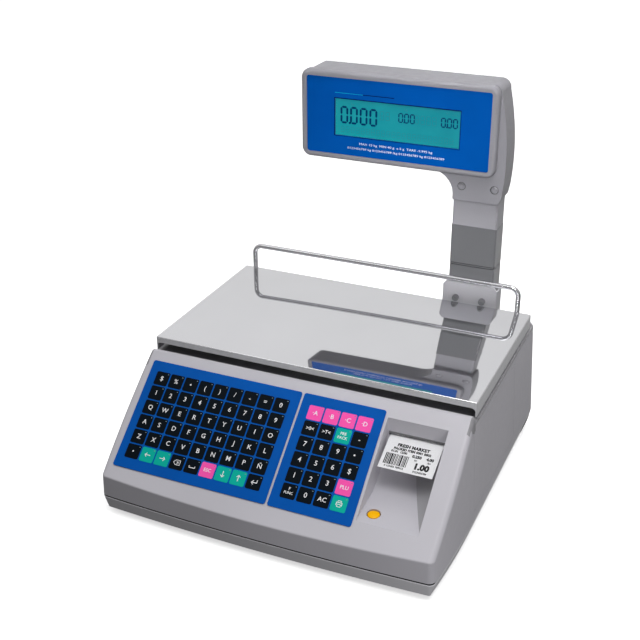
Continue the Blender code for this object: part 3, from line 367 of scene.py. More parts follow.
# The lens carries a painted glow: it emits light, though it is no lamp
LENS = glazed("lens_yellow", (0.86, 0.43, 0.0), 0.3, Specular_IOR_Level=0.12,
              Emission_Color=(0.9, 0.42, 0.0), Emission_Strength=0.16)
VIAL = glazed("vial_glass", linear(150, 200, 90), 0.06, Coat_Weight=1.0)
BUBBLE = glazed("vial_bubble", linear(214, 235, 170), 0.05)
BOARD = circuit_finish("circuit_board")
COPPER = metal("contact_gold", linear(214, 176, 92), 0.3)


# ---------------------------------------------------------------- mesh helpers

def link(name, mesh):
    obj = bpy.data.objects.new(name, mesh)
    bpy.context.scene.collection.objects.link(obj)
    return obj


def drop(obj):
    bpy.data.objects.remove(obj, do_unlink=True)


def as_mesh(obj):
    """The object's mesh with its modifiers applied, or its curve or text filled."""
    graph = bpy.context.evaluated_depsgraph_get()
    return bpy.data.meshes.new_from_object(obj.evaluated_get(graph), depsgraph=graph)


def bake(obj):
    """Applies the object's modifiers."""
    mesh = as_mesh(obj)
    mesh.name = obj.name
    obj.modifiers.clear()
    obj.data = mesh
    return obj


def faced_out(mesh):
    work = bmesh.new()
    work.from_mesh(mesh)
    bmesh.ops.recalc_face_normals(work, faces=work.faces)
    if work.calc_volume(signed=True) < 0:
        bmesh.ops.reverse_faces(work, faces=work.faces)
    work.to_mesh(mesh)
    work.free()
    return mesh


def from_faces(name, points, faces):
    mesh = bpy.data.meshes.new(name)
    mesh.from_pydata([tuple(p) for p in points], [], faces)
    return link(name, faced_out(mesh))


AXES = {
    "X": (Vector((0, 1, 0)), Vector((0, 0, 1)), Vector((1, 0, 0))),
    "Y": (Vector((1, 0, 0)), Vector((0, 0, 1)), Vector((0, 1, 0))),
    "Z": (Vector((1, 0, 0)), Vector((0, 1, 0)), Vector((0, 0, 1))),
}


def tube_faces(count, rings):
    """Faces between successive rings of a form, with its two ends closed."""
    faces = []
    for r in range(rings - 1):
        low, high = r * count, (r + 1) * count
        faces += [(low + i, low + (i + 1) % count, high + (i + 1) % count, high + i) for i in range(count)]
    return faces + [tuple(range(count)), tuple(range(rings * count - 1, (rings - 1) * count - 1, -1))]


def prism(name, outline, axis, start, end):
    first, second, along = AXES[axis]
    flat = [first * a + second * b for a, b in outline]
    points = [p + along * start for p in flat] + [p + along * end for p in flat]
    return from_faces(name, points, tube_faces(len(flat), 2))


def oblong(xs, ys):
    return [(xs[0], ys[0]), (xs[1], ys[0]), (xs[1], ys[1]), (xs[0], ys[1])]


def box(name, xs, ys, zs):
    return prism(name, oblong(xs, ys), "Z", *zs)


def arc(centre, radius, start, end, steps):
    angles = [math.radians(start + (end - start) * i / steps) for i in range(steps + 1)]
    return [(centre[0] + radius * math.cos(a), centre[1] + radius * math.sin(a)) for a in angles]


def rounded(xs, ys, radius, steps=8):
    corners = [
        ((xs[1] - radius, ys[1] - radius), 0),
        ((xs[0] + radius, ys[1] - radius), 90),
        ((xs[0] + radius, ys[0] + radius), 180),
        ((xs[1] - radius, ys[0] + radius), 270),
    ]
    return [p for centre, a in corners for p in arc(centre, radius, a, a + 90, steps)]


def disc(name, axis, centre, radius, start, end, sides=48):
    return prism(name, arc(centre, radius, 0, 360, sides)[:-1], axis, start, end)


def turned(name, axis, centre, profile, sides=64, base=0.0):
    """A lathe form: (radius, height) pairs in mm, from the axis round to the axis; heights run from base."""
    first, second, along = AXES[axis]
    origin = first * centre[0] + second * centre[1]
    points, starts = [], []
    for radius, height in profile:
        starts.append(len(points))
        ring = arc((0, 0), radius * MM, 0, 360, sides)[:-1] if radius > 0 else [(0, 0)]
        points += [origin + first * a + second * b + along * (base + height * MM) for a, b in ring]
    faces = []
    for i in range(len(profile) - 1):
        low, high = starts[i], starts[i + 1]
        for k in range(sides):
            after = (k + 1) % sides
            if profile[i][0] <= 0:
                faces.append((low, high + k, high + after))
            elif profile[i + 1][0] <= 0:
                faces.append((low + k, low + after, high))
            else:
                faces.append((low + k, low + after, high + after, high + k))
    return from_faces(name, points, faces)


def carve(target, operation, *tools):
    """Applies Booleans and removes their tools."""
    for tool in tools:
        step = target.modifiers.new("boolean", "BOOLEAN")
        step.operation = operation
        step.solver = "EXACT"
        step.object = tool
    bake(target)
    for tool in tools:
        drop(tool)
    return target


def cut(target, *tools):
    carve(target, "DIFFERENCE", *tools)


def join(target, *tools):
    carve(target, "UNION", *tools)


def soften(obj, width, segments=3, angle=40):
    """Rounds the edges sharper than angle."""
    step = obj.modifiers.new("bevel", "BEVEL")
    step.width = width
    step.segments = segments
    step.limit_method = "ANGLE"
    step.angle_limit = math.radians(angle)
    step.use_clamp_overlap = True
    return bake(obj)


def round_edges(obj, wanted, width, segments=3):
    """Rounds only the edges whose two ends pass the test."""
    work = bmesh.new()
    work.from_mesh(obj.data)
    edges = [e for e in work.edges if all(wanted(v.co) for v in e.verts) and e.calc_face_angle(0) > 0.3]
    bmesh.ops.bevel(work, geom=edges, offset=width, segments=segments, profile=0.5, affect="EDGES",
                    clamp_overlap=True)
    work.to_mesh(obj.data)
    work.free()


def smooth(obj, angle=32):
    obj.data.shade_smooth()
    obj.data.set_sharp_from_angle(angle=math.radians(angle))
    step = obj.modifiers.new("normals", "WEIGHTED_NORMAL")
    step.keep_sharp = True
    step.weight = 60


def merged(name, *parts):
    """One object from several; a part with no finish given keeps its own materials."""
    work = bmesh.new()
    materials = []
    for obj, finish in parts:
        before = len(work.faces)
        work.from_mesh(obj.data)
        work.faces.ensure_lookup_table()
        own = [finish] if finish else list(obj.data.materials)
        materials += [m for m in own if m not in materials]
        for face in work.faces[before:]:
            face.material_index = materials.index(own[face.material_index if len(own) > 1 else 0])
    mesh = bpy.data.meshes.new(name)
    work.to_mesh(mesh)
    work.free()
    for finish in materials:
        mesh.materials.append(finish)
    for obj, _ in parts:
        drop(obj)
    return link(name, mesh)


def settle(obj, finish, body, slot, *nodes, angle=32):
    """Finishes a piece: its material, smooth shading, the body it rides on and what it stands for."""
    if finish is not None:
        obj.data.materials.clear()
        obj.data.materials.append(finish)
    smooth(obj, angle)
    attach(obj, body)
    if nodes:
        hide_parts(*nodes)


class Plane:
    """A flat place to draw on: a runs right, b runs up, and out stands off it."""

    def __init__(self, origin, right, up):
        self.origin, self.right, self.up = Vector(origin), Vector(right), Vector(up)
        self.out = self.right.cross(self.up)

    def at(self, a, b, out=0.0):
        return self.origin + self.right * a + self.up * b + self.out * out


class Patchwork:
    """Thin raised shapes gathered into one mesh with several materials."""

    def __init__(self, *materials):
        self.materials = materials
        self.points, self.faces, self.index = [], [], []

    def add(self, points, faces, finish):
        start = len(self.points)
        self.points += [tuple(p) for p in points]
        self.faces += [tuple(start + i for i in face) for face in faces]
        self.index += [self.materials.index(finish)] * len(faces)

    def slab(self, plane, outline, low, high, finish, crown=0.0):
        """A raised outline, its upper edge eased by crown."""
        middle = Vector((sum(a for a, _ in outline), sum(b for _, b in outline))) / len(outline)
        rings = [(low, 0.0), (high - crown, 0.0)]
        if crown:
            rings += [(high - crown * 0.3, crown * 0.4), (high, crown * 1.3)]
        points = []
        for height, inset in rings:
            for a, b in outline:
                pull = Vector((a, b)) - middle
                share = 1 - inset / max(pull.length, 1e-9)
                points.append(plane.at(middle.x + pull.x * share, middle.y + pull.y * share, height))
        self.add(points, tube_faces(len(outline), len(rings)), finish)

    def stroke(self, plane, path, width, low, high, finish):
        """A line of even width through the path's points."""
        half = width / 2
        for (ax, ay), (bx, by) in zip(path, path[1:]):
            along = Vector((bx - ax, by - ay))
            if along.length < 1e-7:
                continue
            along.normalize()
            side = Vector((-along.y, along.x)) * half
            reach = along * half * 0.6
            start, end = Vector((ax, ay)) - reach, Vector((bx, by)) + reach
            corners = [start + side, start - side, end - side, end + side]
            self.slab(plane, [(c.x, c.y) for c in corners], low, high, finish)

    def text(self, plane, body, a, b, size, low, high, finish, align="CENTER", squeeze=1.0, weight=0.0):
        curve = bpy.data.curves.new("glyph", "FONT")
        curve.body = body
        curve.size = size
        curve.align_x = align
        curve.align_y = "CENTER"
        curve.extrude = (high - low) / 2
        curve.offset = weight
        curve.resolution_u = 2
        obj = link("glyph", curve)
        mesh = as_mesh(obj)
        middle = (low + high) / 2
        points = [plane.at(a + v.co.x * squeeze, b + v.co.y, middle + v.co.z) for v in mesh.vertices]
        self.add(points, [tuple(p.vertices) for p in mesh.polygons], finish)
        drop(obj)

    def object(self, name):
        mesh = bpy.data.meshes.new(name)
        mesh.from_pydata(self.points, [], self.faces)
        for finish in self.materials:
            mesh.materials.append(finish)
        mesh.polygons.foreach_set("material_index", self.index)
        work = bmesh.new()
        work.from_mesh(mesh)
        bmesh.ops.recalc_face_normals(work, faces=work.faces)
        work.to_mesh(mesh)
        work.free()
        return link(name, mesh)


# ---------------------------------------------------------------- casing surfaces

def slope_z(y):
    return RIDGE_Z + (y - FACE_TOP_Y) * math.tan(SLOPE)


def fascia_y(x):
    return -HALF_DEPTH + FASCIA_BOW * (x / (HALF_WIDTH - 8 * MM)) ** 2


def side_x(y, z):
    pull = max(0.0, SIDE_STRAIGHT_Y - y) ** 2 * SIDE_BOW
    return HALF_WIDTH - pull - SIDE_FLARE * (z - SEAM_Z) / (DECK_Z - SEAM_Z)


FACE = Plane((0, FACE_TOP_Y, RIDGE_Z), (1, 0, 0), (0, math.cos(SLOPE), math.sin(SLOPE)))


def fillet(before, corner, after, radius, steps):
    """The corner's rounding, as points along its arc."""
    into = (Vector(before) - Vector(corner)).normalized()
    out = (Vector(after) - Vector(corner)).normalized()
    half = into.angle(out) / 2
    reach = radius / math.tan(half)
    first, last = Vector(corner) + into * reach, Vector(corner) + out * reach
    centre = Vector(corner) + (into + out).normalized() * radius / math.sin(half)
    spoke = first - centre
    turn = spoke.angle_signed(last - centre)
    points = []
    for i in range(steps + 1):
        c, s = math.cos(turn * i / steps), -math.sin(turn * i / steps)
        points.append(centre + Vector((spoke.x * c - spoke.y * s, spoke.x * s + spoke.y * c)))
    return points


def section(x, depth, inset):
    """One ring of the casing: (y, z, side radius) from the front's foot to the rear's foot."""
    front = fascia_y(x) + inset
    drop_by = inset / math.cos(SLOPE)
    deck = DECK_Z - inset
    rear = HALF_DEPTH - inset
    ridge = RIDGE_Z if inset == 0 else deck
    ridge_y = FACE_TOP_Y + (ridge - RIDGE_Z + drop_by) / math.tan(SLOPE)
    ridge_back = RIDGE_BACK_Y if inset == 0 else ridge_y + 4 * MM
    foot = SEAM_Z if inset == 0 else SEAM_Z - 3 * MM
    side_y = SIDE_STRAIGHT_Y - 4 * MM - inset
    crease = slope_z(front) - drop_by
    shoulder = slope_z(side_y) - drop_by
    corners = [
        ((front, foot), (front + FRONT_CORNER, foot), FRONT_CORNER, 0),
        ((front, crease), (front + FRONT_CORNER, crease - 0.7 * MM), 6 * MM, 2.5 * MM),
        ((side_y, shoulder), (side_y, shoulder - 6 * MM), 5.5 * MM, 0),
        ((ridge_y, ridge), (ridge_y + 2 * MM, ridge - 4.5 * MM), 5 * MM, 1.2 * MM),
        ((ridge_back, ridge), (ridge_back - 1.2 * MM, ridge - 4.5 * MM), 4 * MM, 1 * MM),
        ((ridge_back, deck), (ridge_back - 1.2 * MM, deck - 2 * MM), 2.5 * MM, 0),
        ((150 * MM, deck), (150 * MM, deck - 2 * MM), 3 * MM, 0),
        ((rear, deck), (rear - REAR_CORNER, deck - 2 * MM), REAR_CORNER, 10 * MM),
        ((rear, foot), (rear - REAR_CORNER, foot), REAR_CORNER, 0),
    ]
    if inset:
        del corners[4:6]
    places = [Vector(o).lerp(Vector(i), depth) for o, i, _, _ in corners]
    ring = []
    for k, (_, _, side_radius, radius) in enumerate(corners):
        if radius:
            shrunk = radius * (1 - 0.85 * depth)
            bend = fillet(places[k - 1], places[k], places[k + 1], shrunk, FILLET_STEPS)
            ring += [(p.x, p.y, side_radius) for p in bend]
        else:
            ring.append((places[k].x, places[k].y, side_radius))
        if k == 1:
            steps = range(1, SLOPE_COUNT + 1)
            ring += [(*places[1].lerp(places[2], i / (SLOPE_COUNT + 1)), side_radius) for i in steps]
    return ring


def casing_solid(name, inset=0.0):
    """The casing's outer skin, or its cavity, closed and solid."""
    points, rings = [], []

    def ring_at(share, turn, side):
        ring = []
        for y, z, radius in section(side * share * (HALF_WIDTH - 9 * MM), 1 - math.cos(turn), inset):
            radius = max(radius - inset, 1 * MM)
            x = (side_x(y, z) - inset - radius) * share + radius * math.sin(turn) * (share == 1)
            points.append((side * x, y, z))
            ring.append(len(points) - 1)
        rings.append(ring)

    turns = [math.pi / 2 * k / ROUND_STEPS for k in range(1, ROUND_STEPS + 1)]
    for turn in reversed(turns):
        ring_at(1, turn, -1)
    for k in range(ACROSS + 1):
        share = 2 * k / ACROSS - 1
        ring_at(abs(share), 0, -1 if share < 0 else 1)
    for turn in turns:
        ring_at(1, turn, 1)
    faces = []
    for a, b in zip(rings, rings[1:]):
        faces += [(a[i], a[i + 1], b[i + 1], b[i]) for i in range(len(a) - 1)]
    underside = [ring[0] for ring in rings]
    right = side_wall(points, faces, rings[-1], 1)
    left = side_wall(points, faces, rings[0], -1)
    underside += right + [ring[-1] for ring in reversed(rings)] + list(reversed(left))
    faces.append(tuple(underside))
    return from_faces(name, points, faces)


def side_wall(points, faces, ring, side):
    """Closes one side: strips along the bowed front, then one flat face. Returns its foot's points."""
    first = FILLET_STEPS + 2
    last = first + SLOPE_COUNT
    foot = points[ring[0]][2]
    inset = side_x(points[ring[0]][1], foot) - side * points[ring[0]][0]
    feet = []
    for index in ring[first:last + 1]:
        y = points[index][1]
        points.append((side * (side_x(y, foot) - inset), y, foot))
        feet.append(len(points) - 1)
    faces.append((*ring[:first + 1], feet[0]))
    for k in range(len(feet) - 1):
        faces.append((ring[first + k], ring[first + k + 1], feet[k + 1], feet[k]))
    faces.append((*ring[last:], feet[-1]))
    return feet


# ---------------------------------------------------------------- casing pieces

def recess_floor(past=0.0):
    """The recess floor's (y, z) line: a concave sweep, then a straight run to the front and past it."""
    concave = arc(SWEEP_CENTRE, 56 * MM, -8, -74, 22)
    end = Vector((RECESS_FRONT_Y, slope_z(RECESS_FRONT_Y)))
    run = (end - Vector(concave[-1])).normalized()
    return concave + [tuple(end + run * past)]


def recess_outline():
    top = 12 * MM
    return [
        (RECESS_FRONT_Y - 6 * MM, slope_z(RECESS_FRONT_Y) + top),
        (RECESS_TOP_Y, slope_z(RECESS_TOP_Y) + top),
        (RECESS_TOP_Y, SLOT_Z[0] - 1 * MM),
    ] + recess_floor(past=4 * MM)


def recess_shell_outline():
    under = [(y + 1.5 * MM, z - 2.4 * MM) for y, z in recess_floor()[:-1]]
    back = RECESS_TOP_Y + 2.4 * MM
    under[0] = (back, under[0][1])
    return [
        (RECESS_FRONT_Y, slope_z(RECESS_FRONT_Y) - 1.6 * MM),
        (back, slope_z(back) - 1.2 * MM),
    ] + under + [(-170 * MM, 61 * MM)]


def recess_facet():
    """The low facet that turns the recess floor up into its right wall."""
    tip, back, wide = mm(-172, -104, 28)
    line = recess_floor()
    rows = [p for p in line[:-1] if p[0] < back]
    front, end = Vector(line[-2]), Vector(line[-1])
    rows.append(tuple(front.lerp(end, (tip - front.x) / (end.x - front.x))))
    points = []
    for y, z in rows:
        width = wide * (y - tip) / (back - tip) + 0.4 * MM
        inward = (Vector(SWEEP_CENTRE) - Vector((max(y, front.x), z))).normalized()
        for x, rise in ((-width, -0.3 * MM), (0.3 * MM, 0.4 * width), (0.3 * MM, -0.6 * MM)):
            points.append((RECESS_X[1] + x, y + inward.x * rise, z + inward.y * rise))
    return from_faces("facet", points, tube_faces(3, len(rows)))


def door_box(name, margin):
    ys = (DOOR_Y[0] - margin, DOOR_Y[1] + margin)
    zs = (DOOR_Z[0] - margin, DOOR_Z[1] + margin)
    return prism(name, rounded(ys, zs, 4 * MM + margin), "X", 180 * MM, 210 * MM)


def on_recess_rim(p):
    inside = RECESS_X[0] - 0.1 * MM < p.x < RECESS_X[1] + 0.1 * MM
    along = RECESS_FRONT_Y - 0.2 * MM < p.y < RECESS_TOP_Y + 0.2 * MM
    return inside and along and abs(p.z - slope_z(p.y)) < 0.05 * MM


def casing_openings():
    rear, deck = mm(185, 205), mm(130, 145)
    return [
        prism("recess_cutter", recess_outline(), "X", *RECESS_X),
        box("slot_cutter", SLOT_X, mm(-92, -84), SLOT_Z),
        disc("lens_hole", "Z", LENS_XY, 7.2 * MM, *mm(40, 90)),
        box("cell_hole", mm(-28, 28), (CELL_Y - 20 * MM, CELL_Y + 20 * MM), deck),
        box("port_hole", mm(-30, 30), rear, mm(44, 66)),
        box("inlet_hole", mm(-120.5, -71.5), rear, mm(43.5, 72.5)),
        box("switch_hole", mm(-150.5, -129.5), rear, mm(50, 67)),
        disc("level_hole", "Z", LEVEL_XY, 9.3 * MM, *deck),
        door_box("door_opening", DOOR_GAP),
    ]


def shaded_strips():
    """Thin darker skins of painted shade where the casing lies in shade: under and beside the plate, and
    above the label slot.
    """
    skin = (DECK_Z - 0.3 * MM, DECK_Z + 0.3 * MM)
    strips = [
        (prism("shade_skin", rounded(mm(-183, 183), mm(-68, -30), 5 * MM), "Z", *skin), SHADE_SKIN),
        (box("slot_shade", SLOT_X, mm(-89.6, -89), (SLOT_Z[1] - 0.2 * MM, SLOT_Z[1] + 1.8 * MM)), SHADE_SKIN),
    ]
    for side, _ in SIDES:
        xs = sorted(mm(side * 182, side * 190.2))
        strips.append((prism("ledge", rounded(xs, mm(-62, 158), 2 * MM), "Z", *skin), LEDGE_SHADE))
    return strips


def upper_casing():
    casing = casing_solid("casing_shell")
    cut(casing, casing_solid("casing_cavity", inset=WALL))
    chute_x = (RECESS_X[0] - CHUTE_WALL, RECESS_X[1] + CHUTE_WALL)
    join(casing, prism("chute_wall", recess_shell_outline(), "X", *chute_x))
    cut(casing, *casing_openings())
    round_edges(casing, on_recess_rim, 0.9 * MM)
    # The recess facet takes the darker grey of painted shade
    whole = merged("casing_upper", (casing, CASING), (recess_facet(), FACET_SHADE), *shaded_strips())
    # Casing faces on the ledges beside the plate take the ledge's painted shade
    for face in whole.data.polygons:
        high = face.center.z > DECK_Z - 4 * MM
        if high and abs(face.center.x) > 186 * MM and abs(face.normal.x) > 0.05:
            face.material_index = whole.data.materials.find(LEDGE_SHADE.name)
    settle(whole, None, "base", "casing", "upper_casing")


def printer_door():
    door = carve(casing_solid("door_panel"), "INTERSECT", door_box("door_outline", 0))
    cut(door, casing_solid("door_cavity", inset=WALL))
    settle(door, CASING, "printer_door", "casing", "printer_door")


def base_outline(inset, steps=12):
    """The base's plan, counter-clockwise from the front right corner."""
    low, high = -HALF_DEPTH + 24 * MM, SIDE_STRAIGHT_Y
    flank = [low + (high - low) * k / steps for k in range(steps + 1)]
    corner_x = side_x(-HALF_DEPTH + 12 * MM, SEAM_Z) - FRONT_CORNER
    corner_y = fascia_y(corner_x) + FRONT_CORNER
    half = arc((corner_x, corner_y), max(FRONT_CORNER - inset, 1 * MM), -85, 0, 8)
    half += [(side_x(y, SEAM_Z) - inset, y) for y in flank]
    half += arc((HALF_WIDTH - REAR_CORNER, HALF_DEPTH - REAR_CORNER), REAR_CORNER - inset, 0, 90, 12)
    front = [(x, fascia_y(x) + inset) for x in [corner_x * k / 12 for k in range(-11, 12)]]
    return half + [(-x, y) for x, y in reversed(half)] + front


def loft(name, *levels):
    """A solid through (inset, z) levels of the base's plan."""
    points, count = [], 0
    for inset, z in levels:
        ring = base_outline(inset)
        count = len(ring)
        points += [(x, y, z) for x, y in ring]
    return from_faces(name, points, tube_faces(count, len(levels)))


def bumper_block(name, side, grow):
    xs = sorted((side * (HALF_WIDTH + 6 * MM), side * (HALF_WIDTH - 6.2 * MM - grow)))
    return box(name, xs, (140 * MM - grow, HALF_DEPTH + 6 * MM), (BASE_Z - 1 * MM, 16 * MM + grow))


def base_tray():
    tray = loft("tray", (5.4 * MM, BASE_Z), (4.5 * MM, BASE_Z + 0.5 * MM), (4.2 * MM, BASE_Z + 1.4 * MM),
                mm(0.9, 20), mm(0.4, 21.6), mm(0.8, 22.2))
    cut(tray, loft("tray_hollow", (7.4 * MM, BASE_Z + 2.6 * MM), (3.2 * MM, SEAM_Z + 1 * MM)))
    for side, _ in SIDES:
        corners = [(side * FOOT_AT, end * FOOT_AT) for end in (-1, 1)]
        bores = [disc("foot_bore", "Z", corner, 4.3 * MM, 0, 20 * MM) for corner in corners]
        cut(tray, *bores, bumper_block("bumper_notch", side, 0.3 * MM))
    band = loft("seam_band", (0.9 * MM, SEAM_Z - 3.2 * MM), (0.9 * MM, SEAM_Z - 0.1 * MM))
    cut(band, loft("band_hollow", (3.1 * MM, SEAM_Z - 4 * MM), (3.1 * MM, SEAM_Z + 1 * MM)))
    settle(merged("base_shell", (tray, BASE), (band, GROOVE)), None, "base", "base_plastic", "base_tray")
    for side, label in SIDES:
        pad = loft("corner_pad_" + label, mm(4.3, 6.2), mm(3.2, 9), mm(1.6, 15), mm(2.2, 15.8))
        carve(pad, "INTERSECT", bumper_block("bumper_keep", side, 0))
        settle(pad, RUBBER, "base", "rubber", "rear_bumper_" + label)


def levelling_feet():
    """Four rubber feet with gripped rims, each turning on its own stud."""
    profile = [(0, 0.4), (9, 0.4), (9.6, 0), (13.6, 0), (14.6, 0.5), (15, 1.5), (15, 4), (14.4, 4.9),
               (13, 5.6), (4, 5.7), (4, 17), (0, 17)]
    for side, across in SIDES:
        for end, along in ((-1, "front"), (1, "rear")):
            corner = across + "_" + along
            centre = (side * FOOT_AT, end * FOOT_AT)
            foot = turned("levelling_foot_piece_" + corner, "Z", centre, profile)
            grips = arc(centre, 15.6 * MM, 0, 360, 18)[:-1]
            cut(foot, *[disc("grip", "Z", grip, 1.1 * MM, *mm(-1, 6), 12) for grip in grips])
            settle(foot, RUBBER, "foot_" + corner, "rubber", "levelling_foot_" + corner)


# ---------------------------------------------------------------- operator face

LEFT_ROWS = (
    "$%•()/-=0",
    "123456789",
    "QWERTYUIO",
    "ASDFGHJKL",
    "ZXCVBNMPÑ",
    ("•", "<", ">", "back", "space", "ESC", "!", "^", "enter"),
)
RIGHT_ROWS = (
    ("·A", "·B", "·C", "·D"),
    (">0<", ">T<", "PACK", "-"),
    "789•",
    "456$",
    ("1", "2", "3", "PLU"),
    ("FUNC", "0", "AC", "print"),
)
# For each keypad: its width, its first key and key pitch, the size in mm of a legend by its length, its rows
KEYPADS = (
    ("left", KEYPAD_LEFT_X, *mm(17.8, 18.3), {1: 7.4, 3: 5.3}, LEFT_ROWS),
    ("right", KEYPAD_RIGHT_X, *mm(18.4, 18.5), {1: 7.6, 2: 7.0, 3: 5.6}, RIGHT_ROWS),
)
FIRST_ROW = 19.8 * MM
ROW_PITCH = 17.35 * MM
KEY_SIZE = mm(16.7, 15.9)
PINK_KEYS = ("·A", "·B", "·C", "·D", "PLU", "ESC")
GREEN_KEYS = ("<", ">", "!", "^", "PACK", "print")
# Legends in two rows: words, rise and size in mm
SPLIT_LEGENDS = {
    "PACK": (("PACK", -2.2, 4.3), ("PRE", 2.4, 4.3)),
    "FUNC": (("F", 2.6, 4.6), ("FUNC", -1.8, 3.9)),
}
ARROWS = {"<": (-1, 0), ">": (1, 0), "!": (0, -1), "^": (0, 1)}
# Drawn legends: lines, each a width and the points it runs through, in mm from the key's middle
ICONS = {
    "back": (
        (0.6, (-4.2, 0), (-1.6, 2.6), (3.6, 2.6), (3.6, -2.6), (-1.6, -2.6), (-4.2, 0)),
        (0.6, (-0.4, 1.2), (2.0, -1.2)),
        (0.6, (-0.4, -1.2), (2.0, 1.2)),
    ),
    "space": ((0.75, (-3.4, 0.2), (-3.4, -1.6), (3.4, -1.6), (3.4, 0.2)),),
    "enter": (
        (0.75, (3.2, 2.6), (3.2, -0.4), (-2.8, -0.4)),
        (0.75, (-0.8, 1.6), (-2.8, -0.4), (-0.8, -2.4)),
    ),
    "print": (
        (0.7, (-3, -1.6), (-3, 1.4), (3, 1.4), (3, -1.6)),
        (0.6, (-1.8, 1.6), (-1.8, 3.2), (1.8, 3.2), (1.8, 1.6)),
        (0.6, (-1.8, -0.4), (-1.8, -3.0), (1.8, -3.0), (1.8, -0.4), (-1.8, -0.4)),
    ),
}
# Heights above the slope of the film, the keys and their print
FILM_LOW = 0.3 * MM
FILM_TOP = 1.1 * MM
KEY_TOP = 1.34 * MM
INK_TOP = 1.39 * MM


def arrow(work, a, b, dx, dy, size=3.1 * MM, width=0.75 * MM):
    """A plain arrow through (a, b), pointing along (dx, dy)."""
    tip = (a + dx * size, b + dy * size)
    work.stroke(FACE, [(a - dx * size, b - dy * size), tip], width, KEY_TOP, INK_TOP, WHITE_INK)
    for turn in (-1, 1):
        wing = (tip[0] - (dx - turn * dy) * size * 0.62, tip[1] - (dy + turn * dx) * size * 0.62)
        work.stroke(FACE, [tip, wing], width, KEY_TOP, INK_TOP, WHITE_INK)


def icon(work, name, a, b):
    """A drawn legend through (a, b): an arrow, or the lines that ICONS gives."""
    if name in ARROWS:
        arrow(work, a, b, *ARROWS[name])
        return
    for width, *path in ICONS[name]:
        places = [(a + x * MM, b + y * MM) for x, y in path]
        work.stroke(FACE, places, width * MM, KEY_TOP, INK_TOP, WHITE_INK)


def key(work, mark, a, b, sizes):
    """One key with its corner dot and its legend, which is drawn, split in two rows or plain."""
    finish = KEY_PINK if mark in PINK_KEYS else KEY_GREEN if mark in GREEN_KEYS else KEY_BLACK
    half_x, half_y = KEY_SIZE[0] / 2, KEY_SIZE[1] / 2
    outline = rounded((a - half_x, a + half_x), (b - half_y, b + half_y), 1.7 * MM, 4)
    work.slab(FACE, outline, FILM_TOP - 0.1 * MM, KEY_TOP, finish, crown=0.16 * MM)
    dot = rounded((a + 5.6 * MM, a + 7.0 * MM), (b + 5.6 * MM, b + 6.4 * MM), 0.2 * MM, 2)
    work.slab(FACE, dot, KEY_TOP, INK_TOP, FAINT_INK)
    if mark in ARROWS or mark in ICONS:
        icon(work, mark, a, b)
        return
    plain = [(mark, 0, sizes.get(len(mark)))]
    for body, rise, size in SPLIT_LEGENDS.get(mark, plain):
        work.text(FACE, body, a, b + rise * MM, size * MM, KEY_TOP, INK_TOP, WHITE_INK, weight=0.05 * MM)


def keypads():
    for label, xs, start, pitch, sizes, rows in KEYPADS:
        work = Patchwork(BLUE, KEY_BLACK, KEY_PINK, KEY_GREEN, WHITE_INK, FAINT_INK)
        outline = rounded(xs, (-KEYPAD_S[1], -KEYPAD_S[0]), 2.5 * MM, 6)
        work.slab(FACE, outline, FILM_LOW, FILM_TOP, BLUE, crown=0.12 * MM)
        for r, row in enumerate(rows):
            b = -(KEYPAD_S[0] + FIRST_ROW + ROW_PITCH * r)
            for c, mark in enumerate(row):
                key(work, mark, xs[0] + start + pitch * c, b, sizes)
        settle(work.object("keypad_membrane_" + label), None, "base", "printed_film", "keypad_" + label)


def sensor_lens():
    """A shallow amber lens set into the recess floor, with a dark rim round it."""
    (y0, z0), (y1, z1) = recess_floor()[-1], recess_floor()[-2]
    base = z0 + (z1 - z0) * (LENS_XY[1] - y0) / (y1 - y0)
    dish = [(0, -6), (6.3, -6), (6.3, -0.9), (6.1, -0.4), (5.4, 0.1), (4.4, 0.5), (3.0, 0.85), (1.6, 1.0),
            (0, 1.05)]
    lens = turned("window", "Z", LENS_XY, dish, base=base)
    rim = turned("rim", "Z", LENS_XY, [(0, -6.4), (7.1, -6.4), (7.1, -2.2), (0, -2.2)], base=base)
    settle(merged("sensor_window", (lens, LENS), (rim, GROOVE)), None, "base", "lens", "label_sensor_lens")


LABEL_INK = 0.04 * MM
BARCODE_A = (3.6, 28)
BARCODE_B = mm(5.6, 18.8)
# Each line's place (a, b), size and weight, in mm
LABEL_WORDS = (
    ("FRESH MARKET", 29, 29.8, 5.0, 0.28),
    ("PACKED ITEM 0001 0002", 29, 25.4, 3.7, 0.24),
    ("01.01  12:00", 16, 21.8, 3.4, 0.2),
    ("0 123456 789012", 16, 3.4, 2.9, 0.12),
    ("0.250", 35.5, 20.4, 4.4, 0.28),
    ("4.00", 49.5, 20.4, 4.4, 0.28),
    ("kg", 35.5, 16.2, 3.0, 0.12),
    ("/kg", 49.5, 16.2, 3.0, 0.12),
    ("1.00", 43.5, 9.4, 9.4, 0.6),
    ("0123456789", 43.5, 3.2, 2.9, 0.12),
)


def printed_label():
    """The label with its print, on the straight run below the slot's bend."""
    thick = 0.35 * MM
    free, bend = Vector(mm(-127, 98.6)), Vector(mm(-96.5, 112.9))
    run = (bend - free).normalized()
    path = [free, bend]
    for k in range(1, 9):
        heading = run.lerp(Vector((1, 0)), k / 8).normalized()
        path.append(path[-1] + heading * 0.75 * MM)
    path.append(Vector(mm(-80, 115.6)))
    normals = [Vector((-run.y, run.x))] * 2 + [Vector((0, 1))] * 9
    outline = path + [p + n * thick for p, n in zip(reversed(path), reversed(normals))]
    sheet = prism("label_sheet", outline, "X", *LABEL_X)
    plane = Plane((LABEL_X[0], free.x - run.y * thick, free.y + run.x * thick), (1, 0, 0), (0, run.x, run.y))
    ink = label_print(plane)
    settle(merged("label_out", (sheet, PAPER), (ink, INK)), None, "base", "paper", "printed_label")


